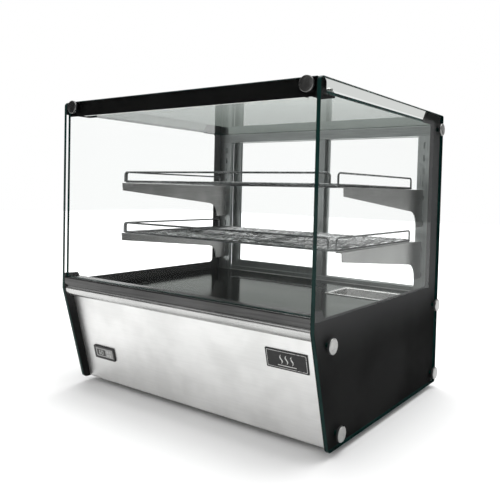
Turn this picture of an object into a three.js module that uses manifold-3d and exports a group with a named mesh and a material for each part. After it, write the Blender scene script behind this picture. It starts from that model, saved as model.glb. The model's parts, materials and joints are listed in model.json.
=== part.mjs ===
// Countertop heated food display case: a steel base with a heated deck, square glass
// on all sides, two wire shelves on hook-in brackets and sliding doors at the back.
// Millimetres, +X right, +Y towards the operator's side, +Z up. The origin is on the
// counter, under the middle of the side panes.
import * as THREE from 'three';
import { mergeVertices } from 'three/addons/utils/BufferGeometryUtils.js';
import Module from 'manifold-3d';

const wasm = await Module();
wasm.setup();

// ---- Overall sizes -------------------------------------------------------------
const WIDTH = 700;             // outside face to outside face of the side panes
const DEPTH = 610;             // front edge to back edge of the side panes
const HEIGHT = 684;            // counter to the top edge of the panes
const FOOT_HEIGHT = 12;        // the panes' bottom edge above the counter
const GAP = 0.3;               // clearance between pieces that rest on each other
const SHEET = 2;               // steel sheet of the base
const SIDE_GLASS = 8;
const FLAT_GLASS = 6;          // front and top panes

// ---- Base ----------------------------------------------------------------------
const DECK_Z = 240;            // top face of the heated deck
const DECK_FRONT = 43.5;       // deck's front edge, measured in from the panes' front edge
const KNEE_RISE = 2;           // bend in the side pane's front edge, above the deck
const TOE_SETBACK = 63;        // how far the foot of the slanted edge sits back
const RAIL_RISE = 29.7;        // top of the front trim rail above the deck
const RAIL_DROP = 18;          // bottom of the front trim rail below the deck
const PANEL_DROP = 23;         // top of the slanted front panel below the deck
const PANEL_TOP_SETBACK = 28;
const PANEL_FOOT_RISE = 6;     // lower bend of the front panel above the panes' bottom edge
const PANEL_FOOT_SETBACK = 79;
const PANEL_SHEET = 1.6;
const PAN_WALL = 18;           // height of the base pan's rim
const TRAY_LENGTH = 160;       // water tray's rim, left to right
const TRAY_WIDTH = 116;        // water tray's rim, front to back
const TRAY_DEPTH = 40;
const TRAY_SIDE = 44;          // rim's edge, measured in from the right pane's outside
const TRAY_BACK = 105;         // rim's edge, measured in from the back edge
const AIR_SLOTS = 20;
const AIR_SLOT_PITCH = 15;
const FAN_SIZE = 120;
const FAN_DEPTH = 30;
const COIL_ROWS = 6;
const COIL_RADIUS = 4;
const DISPLAY_WIDTH = 71;
const DISPLAY_HEIGHT = 33;
const PLATE_LENGTH = 94;       // blank name plate
const PLATE_HEIGHT = 40;

// ---- Upper case ----------------------------------------------------------------
const TOP_RECESS = 27;         // panes' top edge above the underside of the top glass
const REAR_RAIL = 25;          // height of the rear top rail
const POST_SHEET = 1.8;
const POST_INNER = 50;         // post's inner edge, measured in from the pane's outside
const POST_FRONT = 37;         // post's front face, measured in from the back edge
const SLOT_PITCH = 32;         // slots in the posts
const SLOT_FIRST = 48;         // first slot's centre above the deck
const SLOT_HEIGHT = 16;
const BRACKET_SLOT_DROP = 17;  // upper hook's slot centre below the shelf bracket's top
const BRACKET_SHEET = 2;
const SHELF_LEVELS = { lower: 2, upper: 6 };  // slot of each bracket's upper hook
const DOOR_OVERLAP = 39;       // how far the closed doors overlap in the middle
const DOOR_THICK = 7;
const STILE = 30;
const DOOR_GLASS = 4;
const DOOR_CATCH = 3;          // how deep the glass sits in the door's frame
const CAP_DIAMETER = 30;       // glass bolt's cap
const SHANK_RADIUS = 4;
const HOLE_RADIUS = SHANK_RADIUS + 0.5;

// ---- Derived positions ---------------------------------------------------------
const side = WIDTH / 2;
const inner = side - SIDE_GLASS;             // inside face of the side panes
const span = inner - 0.8;                    // half length of pieces between the panes
const front = -DEPTH / 2;
const back = DEPTH / 2;
const topGlassZ = HEIGHT - TOP_RECESS;
const rearRailTop = topGlassZ - GAP;
const rearRailBottom = rearRailTop - REAR_RAIL + GAP;
const postY = back - POST_FRONT;
const postX = side - POST_INNER;
const kneeZ = DECK_Z + KNEE_RISE;
const railTop = DECK_Z + RAIL_RISE;
const railBottom = DECK_Z - RAIL_DROP;
const panelTop = DECK_Z - PANEL_DROP;
const panelFoot = FOOT_HEIGHT + PANEL_FOOT_RISE;
const panelRun = PANEL_FOOT_SETBACK - PANEL_TOP_SETBACK;
const panelLength = Math.hypot(panelRun, panelTop - panelFoot);
const slant = Math.atan2(panelRun, panelTop - panelFoot);

// ---- Materials -----------------------------------------------------------------
const material = (color, roughness, metalness, opacity = 1) =>
  new THREE.MeshStandardMaterial({ color, roughness, metalness, opacity, transparent: opacity < 1 });
const brushedSteel = () => material(0xb9bdbc, 0.32, 1);
const polishedSteel = () => material(0xc6cac9, 0.16, 1);
const plainSteel = () => material(0x8f9492, 0.45, 1);
const aluminium = () => material(0x7b807e, 0.42, 0.9);
const chrome = () => material(0xd4d8da, 0.12, 1);
const clearGlass = () => material(0xdfeae6, 0.03, 0, 0.3);
const blackPlastic = () => material(0x151515, 0.45, 0);
const rubber = () => material(0x1b1b1b, 0.85, 0);

// ---- Solid helpers -------------------------------------------------------------
/** Turns a closed geometry into a solid that can be joined or cut. */
function solid(geometry) {
  const bare = geometry.clone();
  bare.deleteAttribute('normal');
  bare.deleteAttribute('uv');
  const merged = mergeVertices(bare, 1e-4);
  return new wasm.Manifold(new wasm.Mesh({
    numProp: 3,
    vertProperties: new Float32Array(merged.attributes.position.array),
    triVerts: new Uint32Array(merged.index.array),
  }));
}

/** Turns a joined or cut solid back into a geometry. */
function geometryOf(body) {
  const mesh = body.getMesh();
  const geometry = new THREE.BufferGeometry();
  geometry.setAttribute('position', new THREE.BufferAttribute(mesh.vertProperties, 3));
  geometry.setIndex(new THREE.BufferAttribute(mesh.triVerts, 1));
  geometry.computeVertexNormals();
  return geometry;
}

/** Joins a list of geometries, then cuts a second list out of the result. */
function combine(add, cut = []) {
  let body = solid(add[0]);
  for (const piece of add.slice(1)) body = body.add(solid(piece));
  for (const piece of cut) body = body.subtract(solid(piece));
  return geometryOf(body);
}

/** A box given by its two opposite corners. */
function box(x0, x1, y0, y1, z0, z1) {
  const geometry = new THREE.BoxGeometry(x1 - x0, y1 - y0, z1 - z0);
  return geometry.translate((x0 + x1) / 2, (y0 + y1) / 2, (z0 + z1) / 2);
}

/** A closed outline from [a, b] pairs, or [a, b, radius] where a corner is rounded. */
function outline(corners, holes = []) {
  const shape = new THREE.Shape(roundedPoints(corners));
  for (const hole of holes) shape.holes.push(new THREE.Path(roundedPoints(hole)));
  return shape;
}

/** The corner list with each rounded corner replaced by five points of its arc. */
function roundedPoints(corners) {
  const points = [];
  corners.forEach(([a, b, radius], index) => {
    const corner = new THREE.Vector2(a, b);
    if (!radius) {
      points.push(corner);
      return;
    }
    const before = corners[(index + corners.length - 1) % corners.length];
    const after = corners[(index + 1) % corners.length];
    const u = new THREE.Vector2(before[0] - a, before[1] - b).normalize();
    const v = new THREE.Vector2(after[0] - a, after[1] - b).normalize();
    const half = Math.acos(u.dot(v)) / 2;
    const centre = u.clone().add(v).normalize().multiplyScalar(radius / Math.sin(half)).add(corner);
    const start = u.clone().multiplyScalar(radius / Math.tan(half)).add(corner).sub(centre);
    const end = v.clone().multiplyScalar(radius / Math.tan(half)).add(corner).sub(centre);
    const sweep = Math.atan2(start.x * end.y - start.y * end.x, start.dot(end));
    for (let step = 0; step <= 4; step += 1) {
      points.push(start.clone().rotateAround(new THREE.Vector2(), sweep * step / 4).add(centre));
    }
  });
  return points;
}

/** A round hole's outline. */
function circle(a, b, radius, sides = 12) {
  return Array.from({ length: sides }, (_, index) => {
    const angle = 2 * Math.PI * index / sides;
    return [a + radius * Math.cos(angle), b + radius * Math.sin(angle)];
  });
}

/** Extrudes a (y, z) outline along X, from 0 to length. */
function alongX(shape, length) {
  const geometry = new THREE.ExtrudeGeometry(shape, { depth: length, bevelEnabled: false });
  const basis = new THREE.Matrix4().set(0, 0, 1, 0, 1, 0, 0, 0, 0, 1, 0, 0, 0, 0, 0, 1);
  return geometry.applyMatrix4(basis);
}

/** Extrudes an (x, z) outline along Y, from 0 to length. */
function alongY(shape, length) {
  const geometry = new THREE.ExtrudeGeometry(shape, { depth: length, bevelEnabled: false });
  return geometry.rotateX(Math.PI / 2).translate(0, length, 0);
}

/** Extrudes an (x, y) outline along Z, from 0 to height. */
function alongZ(shape, height) {
  return new THREE.ExtrudeGeometry(shape, { depth: height, bevelEnabled: false });
}

/** The closed outline of a bent sheet: a path and its mitred offset to the left. */
function bentSheet(path, thickness) {
  const points = path.map(([a, b]) => new THREE.Vector2(a, b));
  const offset = points.map((point, index) => {
    const into = point.clone().sub(points[Math.max(index - 1, 0)]);
    const out = points[Math.min(index + 1, points.length - 1)].clone().sub(point);
    if (index === 0) into.copy(out);
    if (index === points.length - 1) out.copy(into);
    const n0 = new THREE.Vector2(-into.y, into.x).normalize();
    const n1 = new THREE.Vector2(-out.y, out.x).normalize();
    const mitre = n0.clone().add(n1).normalize();
    return mitre.multiplyScalar(thickness / mitre.dot(n0)).add(point);
  });
  return new THREE.Shape([...points, ...offset.reverse()]);
}

/** A turned piece: [radius, height] profile starting and ending on the axis. */
function turned(profile, sides) {
  const points = profile.map(([radius, height]) => new THREE.Vector2(radius, height));
  return new THREE.LatheGeometry(points, sides);
}

/** A straight round bar between two points. */
function bar(from, to, radius, sides = 6) {
  const a = new THREE.Vector3(...from);
  const b = new THREE.Vector3(...to);
  const along = b.clone().sub(a);
  const geometry = new THREE.CylinderGeometry(radius, radius, along.length(), sides);
  const turn = new THREE.Quaternion().setFromUnitVectors(new THREE.Vector3(0, 1, 0), along.normalize());
  const middle = a.add(b).multiplyScalar(0.5);
  return geometry.applyQuaternion(turn).translate(middle.x, middle.y, middle.z);
}

/** Puts one named piece into its parent group. */
function place(parent, name, geometry, look, position = [0, 0, 0], rotation = [0, 0, 0]) {
  const mesh = new THREE.Mesh(geometry, look);
  mesh.name = name;
  mesh.position.set(...position);
  mesh.rotation.set(...rotation);
  parent.add(mesh);
}

const displayCase = new THREE.Group();
const sides = [['left', -1], ['right', 1]];

// ---- Glass bolts: where each one crosses its pane --------------------------------
const sideBolts = {
  front_upper: [front + 59, DECK_Z - 29],
  front_lower: [front + 101, FOOT_HEIGHT + 27],
  rear_upper: [back - 17, DECK_Z - 30],
  rear_lower: [back - 17, FOOT_HEIGHT + 26],
  rear_top: [back - 23, HEIGHT - 37],
};
const frontBolt = [side - 29, HEIGHT - 13];

// ---- Side panes ------------------------------------------------------------------
const paneOutline = outline([
  [front + TOE_SETBACK, FOOT_HEIGHT, 12],
  [back, FOOT_HEIGHT, 6],
  [back, HEIGHT, 6],
  [front, HEIGHT, 10],
  [front, kneeZ],
], Object.values(sideBolts).map(([y, z]) => circle(y, z, HOLE_RADIUS)));
for (const [name, sign] of sides) {
  const x = sign > 0 ? inner : -side;
  place(displayCase, `side_glass_${name}`, alongX(paneOutline, SIDE_GLASS), clearGlass(), [x, 0, 0]);
}

// ---- Front pane, top pane ----------------------------------------------------------
const frontGlassOutline = outline([
  [-span, railTop + GAP],
  [span, railTop + GAP],
  [span, HEIGHT, 3],
  [-span, HEIGHT, 3],
], [circle(-frontBolt[0], frontBolt[1], HOLE_RADIUS), circle(frontBolt[0], frontBolt[1], HOLE_RADIUS)]);
const frontGlassY = front + 5;
place(displayCase, 'front_glass', alongY(frontGlassOutline, FLAT_GLASS), clearGlass(), [0, frontGlassY, 0]);

const lugFront = frontGlassY + FLAT_GLASS + 0.5;
const lugDepth = 6;
const topGlassOutline = outline([
  [-span, lugFront + lugDepth + 0.5, 3],
  [span, lugFront + lugDepth + 0.5, 3],
  [span, back - 5, 3],
  [-span, back - 5, 3],
]);
place(displayCase, 'top_glass', alongZ(topGlassOutline, FLAT_GLASS), clearGlass(), [0, 0, topGlassZ]);

// ---- Front corner brackets and the light bar between them ---------------------------
const cornerWidth = 29;
const cornerLength = 55;
for (const [name, sign] of sides) {
  const x0 = sign > 0 ? span - cornerWidth : -span;
  const plateZ = topGlassZ - GAP - 3;
  const geometry = combine([
    box(x0, x0 + cornerWidth, lugFront, lugFront + cornerLength, plateZ, plateZ + 3),
    box(x0, x0 + cornerWidth, lugFront, lugFront + lugDepth, plateZ, HEIGHT - 2),
  ], [bar([sign * frontBolt[0], lugFront - 5, frontBolt[1]],
    [sign * frontBolt[0], lugFront + 12, frontBolt[1]], HOLE_RADIUS, 12)]);
  place(displayCase, `corner_bracket_${name}`, geometry, blackPlastic());
}
const lightBarOutline = outline([[0, 0], [12, 0], [12, 4.9], [0, 4.9]]);
place(displayCase, 'light_bar', alongX(lightBarOutline, 2 * (span - cornerWidth - 4)),
  material(0xe9ecec, 0.4, 0.2),
  [-(span - cornerWidth - 4), lugFront + lugDepth + 0.8, topGlassZ - GAP - 4.9]);

// ---- Front trim rail: a hollow bullnose moulding -------------------------------------
// Each point is its distance behind the panes' front edge and its height above the deck:
// a square upper lip, a shallow groove and a round nose that runs back under the deck.
const railBack = DECK_FRONT - 0.5;
const railOuter = [
  [railBack, -RAIL_DROP], [railBack, 22], [railBack - 5, RAIL_RISE], [4, RAIL_RISE],
  [1.4, RAIL_RISE - 3.1], [0.6, 22], [1.2, 14], [2.6, 10.6], [5, 8.7], [5.2, 6.8], [3.4, 4.6],
  [3, 0], [4.4, -5.5], [7.6, -10.5], [12.5, 0.8 * -RAIL_DROP], [19, 0.6 - RAIL_DROP], [26, -RAIL_DROP],
];
const railInner = [
  [railBack - 2, 2 - RAIL_DROP], [railBack - 2, 21], [railBack - 6, RAIL_RISE - 2.1],
  [6, RAIL_RISE - 2.1], [3.2, 22], [8.2, 8], [6, 0.5], [10.5, -8.5], [20, 3 - RAIL_DROP],
];
const railPoint = ([y, z]) => new THREE.Vector2(front + y, DECK_Z + z);
const railShape = new THREE.Shape(railOuter.map(railPoint));
railShape.holes.push(new THREE.Path(railInner.map(railPoint)));
place(displayCase, 'front_rail', alongX(railShape, 2 * span), polishedSteel(), [-span, 0, 0]);

// ---- Slanted front panel, with the controller's cut-out --------------------------------
const display = { x: -(side - 87.5), down: panelLength - 72 };
const faceFrame = new THREE.Group();
faceFrame.position.set(0, front + PANEL_TOP_SETBACK, panelTop);
faceFrame.rotation.x = slant;
displayCase.add(faceFrame);
const panelPath = [
  [front + PANEL_FOOT_SETBACK + 27, FOOT_HEIGHT + 0.1],
  [front + PANEL_FOOT_SETBACK + 4, FOOT_HEIGHT + 0.1],
  [front + PANEL_FOOT_SETBACK + 1.3, FOOT_HEIGHT + 2],
  [front + PANEL_FOOT_SETBACK, panelFoot],
  [front + PANEL_TOP_SETBACK - 4 * Math.tan(slant), panelTop + 4],
];
const bodyX = DISPLAY_WIDTH / 2 - 1.8;       // half sizes of the controller's body
const bodyZ = DISPLAY_HEIGHT / 2 - 2.3;
const cutout = box(-bodyX - GAP, bodyX + GAP, -10, 10, -bodyZ - GAP, bodyZ + GAP).rotateX(slant).translate(
  display.x,
  front + PANEL_TOP_SETBACK + display.down * Math.sin(slant),
  panelTop - display.down * Math.cos(slant),
);
const panelSheet = alongX(bentSheet(panelPath.reverse(), PANEL_SHEET), 2 * span).translate(-span, 0, 0);
place(displayCase, 'front_panel', combine([panelSheet], [cutout]), brushedSteel());

const bezel = combine([
  box(-DISPLAY_WIDTH / 2, DISPLAY_WIDTH / 2, -4, -GAP, -DISPLAY_HEIGHT / 2, DISPLAY_HEIGHT / 2),
  box(-bodyX, bodyX, -2, 42, -bodyZ, bodyZ),
], [box(-bodyX + 2.7, bodyX - 2.7, -6, -1.6, -bodyZ + 2.2, bodyZ - 2.2)]);
place(faceFrame, 'display_bezel', bezel, blackPlastic(), [display.x, 0, -display.down]);
place(faceFrame, 'display_face', box(-bodyX + 3.1, bodyX - 3.1, -2.9, -1.9, -bodyZ + 2.6, bodyZ - 2.6),
  material(0x8d9090, 0.35, 0.1), [display.x, 0, -display.down]);
const plateOutline = outline([
  [-PLATE_LENGTH / 2, -PLATE_HEIGHT / 2, 3],
  [PLATE_LENGTH / 2, -PLATE_HEIGHT / 2, 3],
  [PLATE_LENGTH / 2, PLATE_HEIGHT / 2, 3],
  [-PLATE_LENGTH / 2, PLATE_HEIGHT / 2, 3],
]);
place(faceFrame, 'name_plate', alongY(plateOutline, 1.2), aluminium(),
  [side - 32 - PLATE_LENGTH / 2, -1.5, -24 - PLATE_HEIGHT / 2]);

// ---- Base: pan, side plates, back panel ------------------------------------------------
const panTop = FOOT_HEIGHT + 2;
const panX = inner - 4.8;
const rearFace = back - 5;
const panFront = front + PANEL_FOOT_SETBACK + 8;
const panBack = rearFace - SHEET - GAP;
const footX = side - 80;
const feet = [
  [-footX, front + 135],
  [footX, front + 135],
  [-footX, back - 70],
  [footX, back - 70],
];
const panCuts = [
  box(-panX + SHEET, panX - SHEET, panFront + SHEET, panBack - SHEET, panTop + SHEET, panTop + 60),
  ...feet.map(([x, y]) => bar([x, y, 0], [x, y, 60], HOLE_RADIUS, 12)),
];
for (let index = 0; index < 8; index += 1) {
  const x = -140 + index * 40;
  panCuts.push(box(x - 4, x + 4, back - 245, back - 175, 0, 60));
}
place(displayCase, 'base_pan', combine([
  box(-panX, panX, panFront, panBack, panTop, panTop + PAN_WALL),
], panCuts), plainSteel());

const footProfile = [
  [0, 0], [20, 0], [18, panTop - GAP], [SHANK_RADIUS, panTop - GAP], [SHANK_RADIUS, panTop + 9],
  [0, panTop + 9],
];
const footNames = ['front_left', 'front_right', 'rear_left', 'rear_right'];
feet.forEach(([x, y], index) => {
  const geometry = turned(footProfile, 16).rotateX(Math.PI / 2);
  place(displayCase, `foot_${footNames[index]}`, geometry, rubber(), [x, y, 0]);
});

const plateTop = DECK_Z - SHEET - GAP;
const sidePlateOutline = outline([
  [front + PANEL_FOOT_SETBACK + 5, panTop + 3],
  [panBack, panTop + 3],
  [panBack, plateTop],
  [front + DECK_FRONT + 5.5, plateTop],
  [front + DECK_FRONT + 5.5, railBottom - 17],
  [front + PANEL_TOP_SETBACK + 9, railBottom - 17],
], ['front_upper', 'front_lower', 'rear_upper', 'rear_lower'].map((key) => circle(...sideBolts[key], HOLE_RADIUS)));
for (const [name, sign] of sides) {
  const x = sign > 0 ? panX + GAP : -panX - GAP - SHEET;
  place(displayCase, `side_plate_${name}`, alongX(sidePlateOutline, SHEET), plainSteel(), [x, 0, 0]);
}

const controlZ = DECK_Z - 110;
const controls = {
  thermostat: [side - 200, controlZ],
  power: [side - 135, controlZ],
  light: [side - 88, controlZ],
  gland: [70 - side, FOOT_HEIGHT + 48],
};
const rearCuts = [
  bar([controls.thermostat[0], rearFace - 9, controls.thermostat[1]],
    [controls.thermostat[0], rearFace + 9, controls.thermostat[1]], 5.5, 12),
  bar([controls.gland[0], rearFace - 9, controls.gland[1]],
    [controls.gland[0], rearFace + 9, controls.gland[1]], 10.4, 16),
  ...['power', 'light'].map((key) => {
    const [x, z] = controls[key];
    return box(x - 10.5, x + 10.5, rearFace - 9, rearFace + 9, z - 13.5, z + 13.5);
  }),
];
for (let index = 0; index < 9; index += 1) {
  const x = -170 + index * 26;
  rearCuts.push(box(x - 3, x + 3, rearFace - 9, rearFace + 9, FOOT_HEIGHT + 58, DECK_Z - 90));
}
const rearPath = [[rearFace, panTop], [rearFace, DECK_Z], [postY - 1, DECK_Z]];
const rearSheet = alongX(bentSheet(rearPath, SHEET), 2 * span).translate(-span, 0, 0);
place(displayCase, 'rear_panel', combine([rearSheet], rearCuts), brushedSteel());

// ---- Heated deck with air slots and the opening for the water tray -----------------------
const tray = { x1: side - TRAY_SIDE, y1: back - TRAY_BACK };
tray.x0 = tray.x1 - TRAY_LENGTH;
tray.y0 = tray.y1 - TRAY_WIDTH;
const deckCuts = [box(tray.x0 + 6, tray.x1 - 6, tray.y0 + 6, tray.y1 - 6, DECK_Z - 9, DECK_Z + 9)];
for (let index = 0; index < AIR_SLOTS; index += 1) {
  const x = tray.x0 - 41 - index * AIR_SLOT_PITCH;
  deckCuts.push(box(x - 3, x + 3, back - 171, back - 145, DECK_Z - 9, DECK_Z + 9));
}
place(displayCase, 'deck', combine([
  box(-span, span, front + DECK_FRONT, postY - 1.5, DECK_Z - SHEET, DECK_Z),
], deckCuts), polishedSteel());

// ---- Lift-out water tray -------------------------------------------------------------------
const trayMiddle = [(tray.x0 + tray.x1) / 2, (tray.y0 + tray.y1) / 2];
const trayHalf = [(tray.x1 - tray.x0) / 2, (tray.y1 - tray.y0) / 2];
const trayRing = (inset, radius) => outline([
  [-trayHalf[0] + inset, -trayHalf[1] + inset, radius],
  [trayHalf[0] - inset, -trayHalf[1] + inset, radius],
  [trayHalf[0] - inset, trayHalf[1] - inset, radius],
  [-trayHalf[0] + inset, trayHalf[1] - inset, radius],
]);
place(displayCase, 'water_tray', combine([
  alongZ(trayRing(0, 14), 1.6),
  alongZ(trayRing(7.5, 10), TRAY_DEPTH).translate(0, 0, 1.6 - TRAY_DEPTH),
], [
  alongZ(trayRing(9, 9), TRAY_DEPTH).translate(0, 0, 3.1 - TRAY_DEPTH),
]), polishedSteel(), [...trayMiddle, DECK_Z + GAP]);

// ---- Heating element under the deck ----------------------------------------------------------
const fanY = back - 158;
const coilX = [60 - side, tray.x0 - 36];
const coilY = [front + 92, fanY - FAN_SIZE / 2 - 70];
const coilZ = DECK_Z - SHEET - 12 - COIL_RADIUS;
const coilPitch = (coilY[1] - coilY[0]) / (COIL_ROWS - 1);
const coil = [];
for (let row = 0; row < COIL_ROWS; row += 1) {
  const y = coilY[0] + row * coilPitch;
  coil.push(bar([coilX[0], y, coilZ], [coilX[1], y, coilZ], COIL_RADIUS, 8));
  if (row > 0) {
    const x = row % 2 ? coilX[1] - 3 : coilX[0] + 3;
    coil.push(bar([x, y - coilPitch - 3, coilZ], [x, y + 3, coilZ], COIL_RADIUS, 8));
  }
}
const strapZ = coilZ - COIL_RADIUS - 1.5;
for (const x of [coilX[0] + 70, coilX[1] - 70]) {
  coil.push(box(x - 9, x + 9, coilY[0] - 14, coilY[1] + 14, strapZ, strapZ + 2));
  for (const y of [coilY[0] - 14, coilY[1] + 12]) {
    coil.push(box(x - 9, x + 9, y, y + 2, strapZ, DECK_Z - SHEET - GAP));
  }
}
place(displayCase, 'heating_element', combine(coil), material(0x4a4542, 0.6, 0.8));

// ---- Circulation fan under the air slots --------------------------------------------------------
const fan = [tray.x0 - 184, fanY, DECK_Z - SHEET - GAP - FAN_DEPTH];
const fanHalf = FAN_SIZE / 2;
const fanBore = fanHalf - 5;
const fanFrame = combine([
  combine([box(-fanHalf, fanHalf, -fanHalf, fanHalf, 0, FAN_DEPTH)],
    [bar([0, 0, -5], [0, 0, FAN_DEPTH + 5], fanBore, 32)]),
  bar([0, 0, 0], [0, 0, 4], 20, 20),
  box(-fanBore - 1, fanBore + 1, -4, 4, 0, 4),
  box(-4, 4, -fanBore - 1, fanBore + 1, 0, 4),
  bar([0, 0, 2], [0, 0, 18], 3, 10),
]);
place(displayCase, 'fan_frame', fanFrame, blackPlastic(), fan);
const blades = [];
for (let index = 0; index < 5; index += 1) {
  blades.push(box(15, fanBore - 5, -15, 15, -1, 1).rotateX(0.6).rotateZ(2 * Math.PI * index / 5)
    .translate(0, 0, 15));
}
place(displayCase, 'fan_rotor', combine([
  bar([0, 0, 5], [0, 0, 26], 19, 20), ...blades,
], [bar([0, 0, 0], [0, 0, 19], 3.4, 10)]), blackPlastic(), fan);

// ---- Controls and connections on the back panel ----------------------------------------------------
const rearInside = rearFace - SHEET - GAP;
const [thermoX, thermoZ] = controls.thermostat;
place(displayCase, 'thermostat_body', combine([
  box(-20, 20, -40, 0, -22, 22),
  bar([0, -3, 0], [0, 5.5, 0], 3, 12),
]), material(0xd8d4c8, 0.6, 0), [thermoX, rearInside, thermoZ]);
const knobBody = turned([[0, 0], [15, 0], [15, 1.4], [12.4, 2.2], [11.8, 6], [0, 6]], 20);
place(displayCase, 'thermostat_knob', combine([knobBody, box(-1.5, 1.5, 3, 6.4, -11, 0)],
  [bar([0, -2, 0], [0, 4.2, 0], 3.4, 12)]), blackPlastic(), [thermoX, rearFace + 0.8, thermoZ]);

for (const key of ['power', 'light']) {
  const [x, z] = controls[key];
  const housing = combine([
    box(-12.5, 12.5, GAP, 2, -15.5, 15.5),
    box(-10, 10, -26, 1, -13, 13),
  ], [
    box(-7.4, 7.4, -8, 9, -11.4, 11.4),
    bar([-9.5, 0, 0], [9.5, 0, 0], 1.6, 10),
  ]);
  place(displayCase, `${key}_switch_housing`, housing, blackPlastic(), [x, rearFace, z]);
  const rockerOutline = outline([[-5, -8], [1.2, -9.2], [3.2, 0], [1.2, 9.2], [-5, 8]]);
  const rocker = combine([
    alongX(rockerOutline, 13.6).translate(-6.8, 0, 0),
    bar([-9, 0, 0], [9, 0, 0], 1.2, 8),
  ]);
  place(displayCase, `${key}_switch_rocker`, rocker,
    key === 'power' ? material(0x1e7a3c, 0.35, 0) : blackPlastic(),
    [x, rearFace, z], [THREE.MathUtils.degToRad(-8), 0, 0]);
}

const [glandX, glandZ] = controls.gland;
const glandGrip = -SHEET - GAP;
const glandOutline = [[4.5, -10], [15, -10], [15, glandGrip], [10, glandGrip], [10, GAP], [15, GAP],
  [15, 4], [12, 5], [9.5, 7.2], [4.5, 7.2], [4.5, -10]];
place(displayCase, 'cable_gland', turned(glandOutline, 18), blackPlastic(), [glandX, rearFace, glandZ]);
const terminalCuts = [-24, -12, 0, 12, 24].map((x) => bar([x, 0, 20], [x, 0, 40], 3, 10));
place(displayCase, 'terminal_block', combine([box(-34, 34, -14, 14, 0, 30)], terminalCuts),
  material(0xe6e2d6, 0.6, 0), [glandX + 60, back - 60, panTop + SHEET + GAP]);

// ---- Slotted rear posts --------------------------------------------------------------------------
const postBottom = DECK_Z + GAP;
const postHeight = rearRailBottom - GAP - postBottom;
const slotX = postX + 17;
const slotZ = (index) => DECK_Z + SLOT_FIRST + index * SLOT_PITCH;
for (const [name, sign] of sides) {
  const path = [
    [postX + 18, back - 0.5],
    [span, back - 0.5],
    [span, postY],
    [postX, postY],
    [postX, postY + 8],
  ].map(([x, y]) => [sign * x, y]);
  const sheet = alongZ(bentSheet(sign > 0 ? path.reverse() : path, POST_SHEET), postHeight);
  const cuts = [];
  for (let index = 0; slotZ(index) < rearRailBottom - 20; index += 1) {
    const z = slotZ(index) - postBottom;
    cuts.push(box(sign * slotX - 2.2, sign * slotX + 2.2, postY - 4, postY + 4,
      z - SLOT_HEIGHT / 2, z + SLOT_HEIGHT / 2));
  }
  place(displayCase, `rear_post_${name}`, combine([sheet], cuts), aluminium(), [0, 0, postBottom]);
}

// ---- Rear top rail and the doors' bottom track ------------------------------------------------------
const doorTop = rearRailBottom + 9.5;
const trackTop = DECK_Z + 10.5;
const doorBottom = DECK_Z + 5.3;
const doorY = { right: back - 10 - 2 * DOOR_THICK, left: back - 7 - DOOR_THICK };
const groove = (key) => [doorY[key] - 0.6, doorY[key] + DOOR_THICK + 0.6];
const grooveTop = doorTop + 0.9;
const topRailOutline = outline([
  [postY, rearRailBottom], [groove('right')[0], rearRailBottom], [groove('right')[0], grooveTop],
  [groove('right')[1], grooveTop], [groove('right')[1], rearRailBottom], [groove('left')[0], rearRailBottom],
  [groove('left')[0], grooveTop], [groove('left')[1], grooveTop], [groove('left')[1], rearRailBottom],
  [back - 0.5, rearRailBottom], [back - 0.5, rearRailTop], [postY, rearRailTop],
]);
const railEnds = sides.map(([, sign]) => {
  const [y, z] = sideBolts.rear_top;
  return bar([sign * (side - 24), y, z], [sign * (side + 10), y, z], HOLE_RADIUS, 12);
});
place(displayCase, 'rear_top_rail', combine([alongX(topRailOutline, 2 * span).translate(-span, 0, 0)], railEnds),
  aluminium());

const trackFloor = doorBottom - GAP;
const trackOutline = outline([
  [postY + 8.8, postBottom], [back - 2.7, postBottom], [back - 2.7, trackTop], [groove('left')[1], trackTop],
  [groove('left')[1], trackFloor], [groove('left')[0], trackFloor], [groove('left')[0], trackTop],
  [groove('right')[1], trackTop], [groove('right')[1], trackFloor], [groove('right')[0], trackFloor],
  [groove('right')[0], trackTop], [postY + 8.8, trackTop],
]);
const trackHalf = span - POST_SHEET - 0.4;
place(displayCase, 'door_track', alongX(trackOutline, 2 * trackHalf), aluminium(), [-trackHalf, 0, 0]);

// ---- Sliding doors: a framed pane each, in its own groove ---------------------------------------------
const doorEnds = { left: -postX - 7, right: span - POST_SHEET - 1.4 };
const doorWidth = (doorEnds.right - doorEnds.left + DOOR_OVERLAP) / 2;
const doors = {
  left: { x: doorEnds.left, bottomRail: 29, pullX: STILE / 2 - 7 },
  right: { x: doorEnds.right - doorWidth, bottomRail: 11, pullX: doorWidth - STILE / 2 - 7 },
};
for (const [name, { x, bottomRail, pullX }] of Object.entries(doors)) {
  const height = doorTop - doorBottom;
  const low = bottomRail - (doorBottom - DECK_Z);
  const high = rearRailBottom - doorBottom;
  const glassY = [(DOOR_THICK - DOOR_GLASS) / 2, (DOOR_THICK + DOOR_GLASS) / 2];
  const frame = combine([box(0, doorWidth, 0, DOOR_THICK, 0, height)], [
    box(STILE, doorWidth - STILE, -5, DOOR_THICK + 5, low, high),
    box(STILE - DOOR_CATCH, doorWidth - STILE + DOOR_CATCH, glassY[0] - GAP, glassY[1] + GAP,
      low - DOOR_CATCH, high + DOOR_CATCH),
    box(pullX, pullX + 14, DOOR_THICK - 3, DOOR_THICK + 5, height / 2 - 60, height / 2 + 60),
  ]);
  place(displayCase, `door_frame_${name}`, frame, aluminium(), [x, doorY[name], doorBottom]);
  const catchFit = DOOR_CATCH - GAP;
  place(displayCase, `door_glass_${name}`, box(STILE - catchFit, doorWidth - STILE + catchFit,
    ...glassY, low - catchFit, high + catchFit), clearGlass(), [x, doorY[name], doorBottom]);
}

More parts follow.
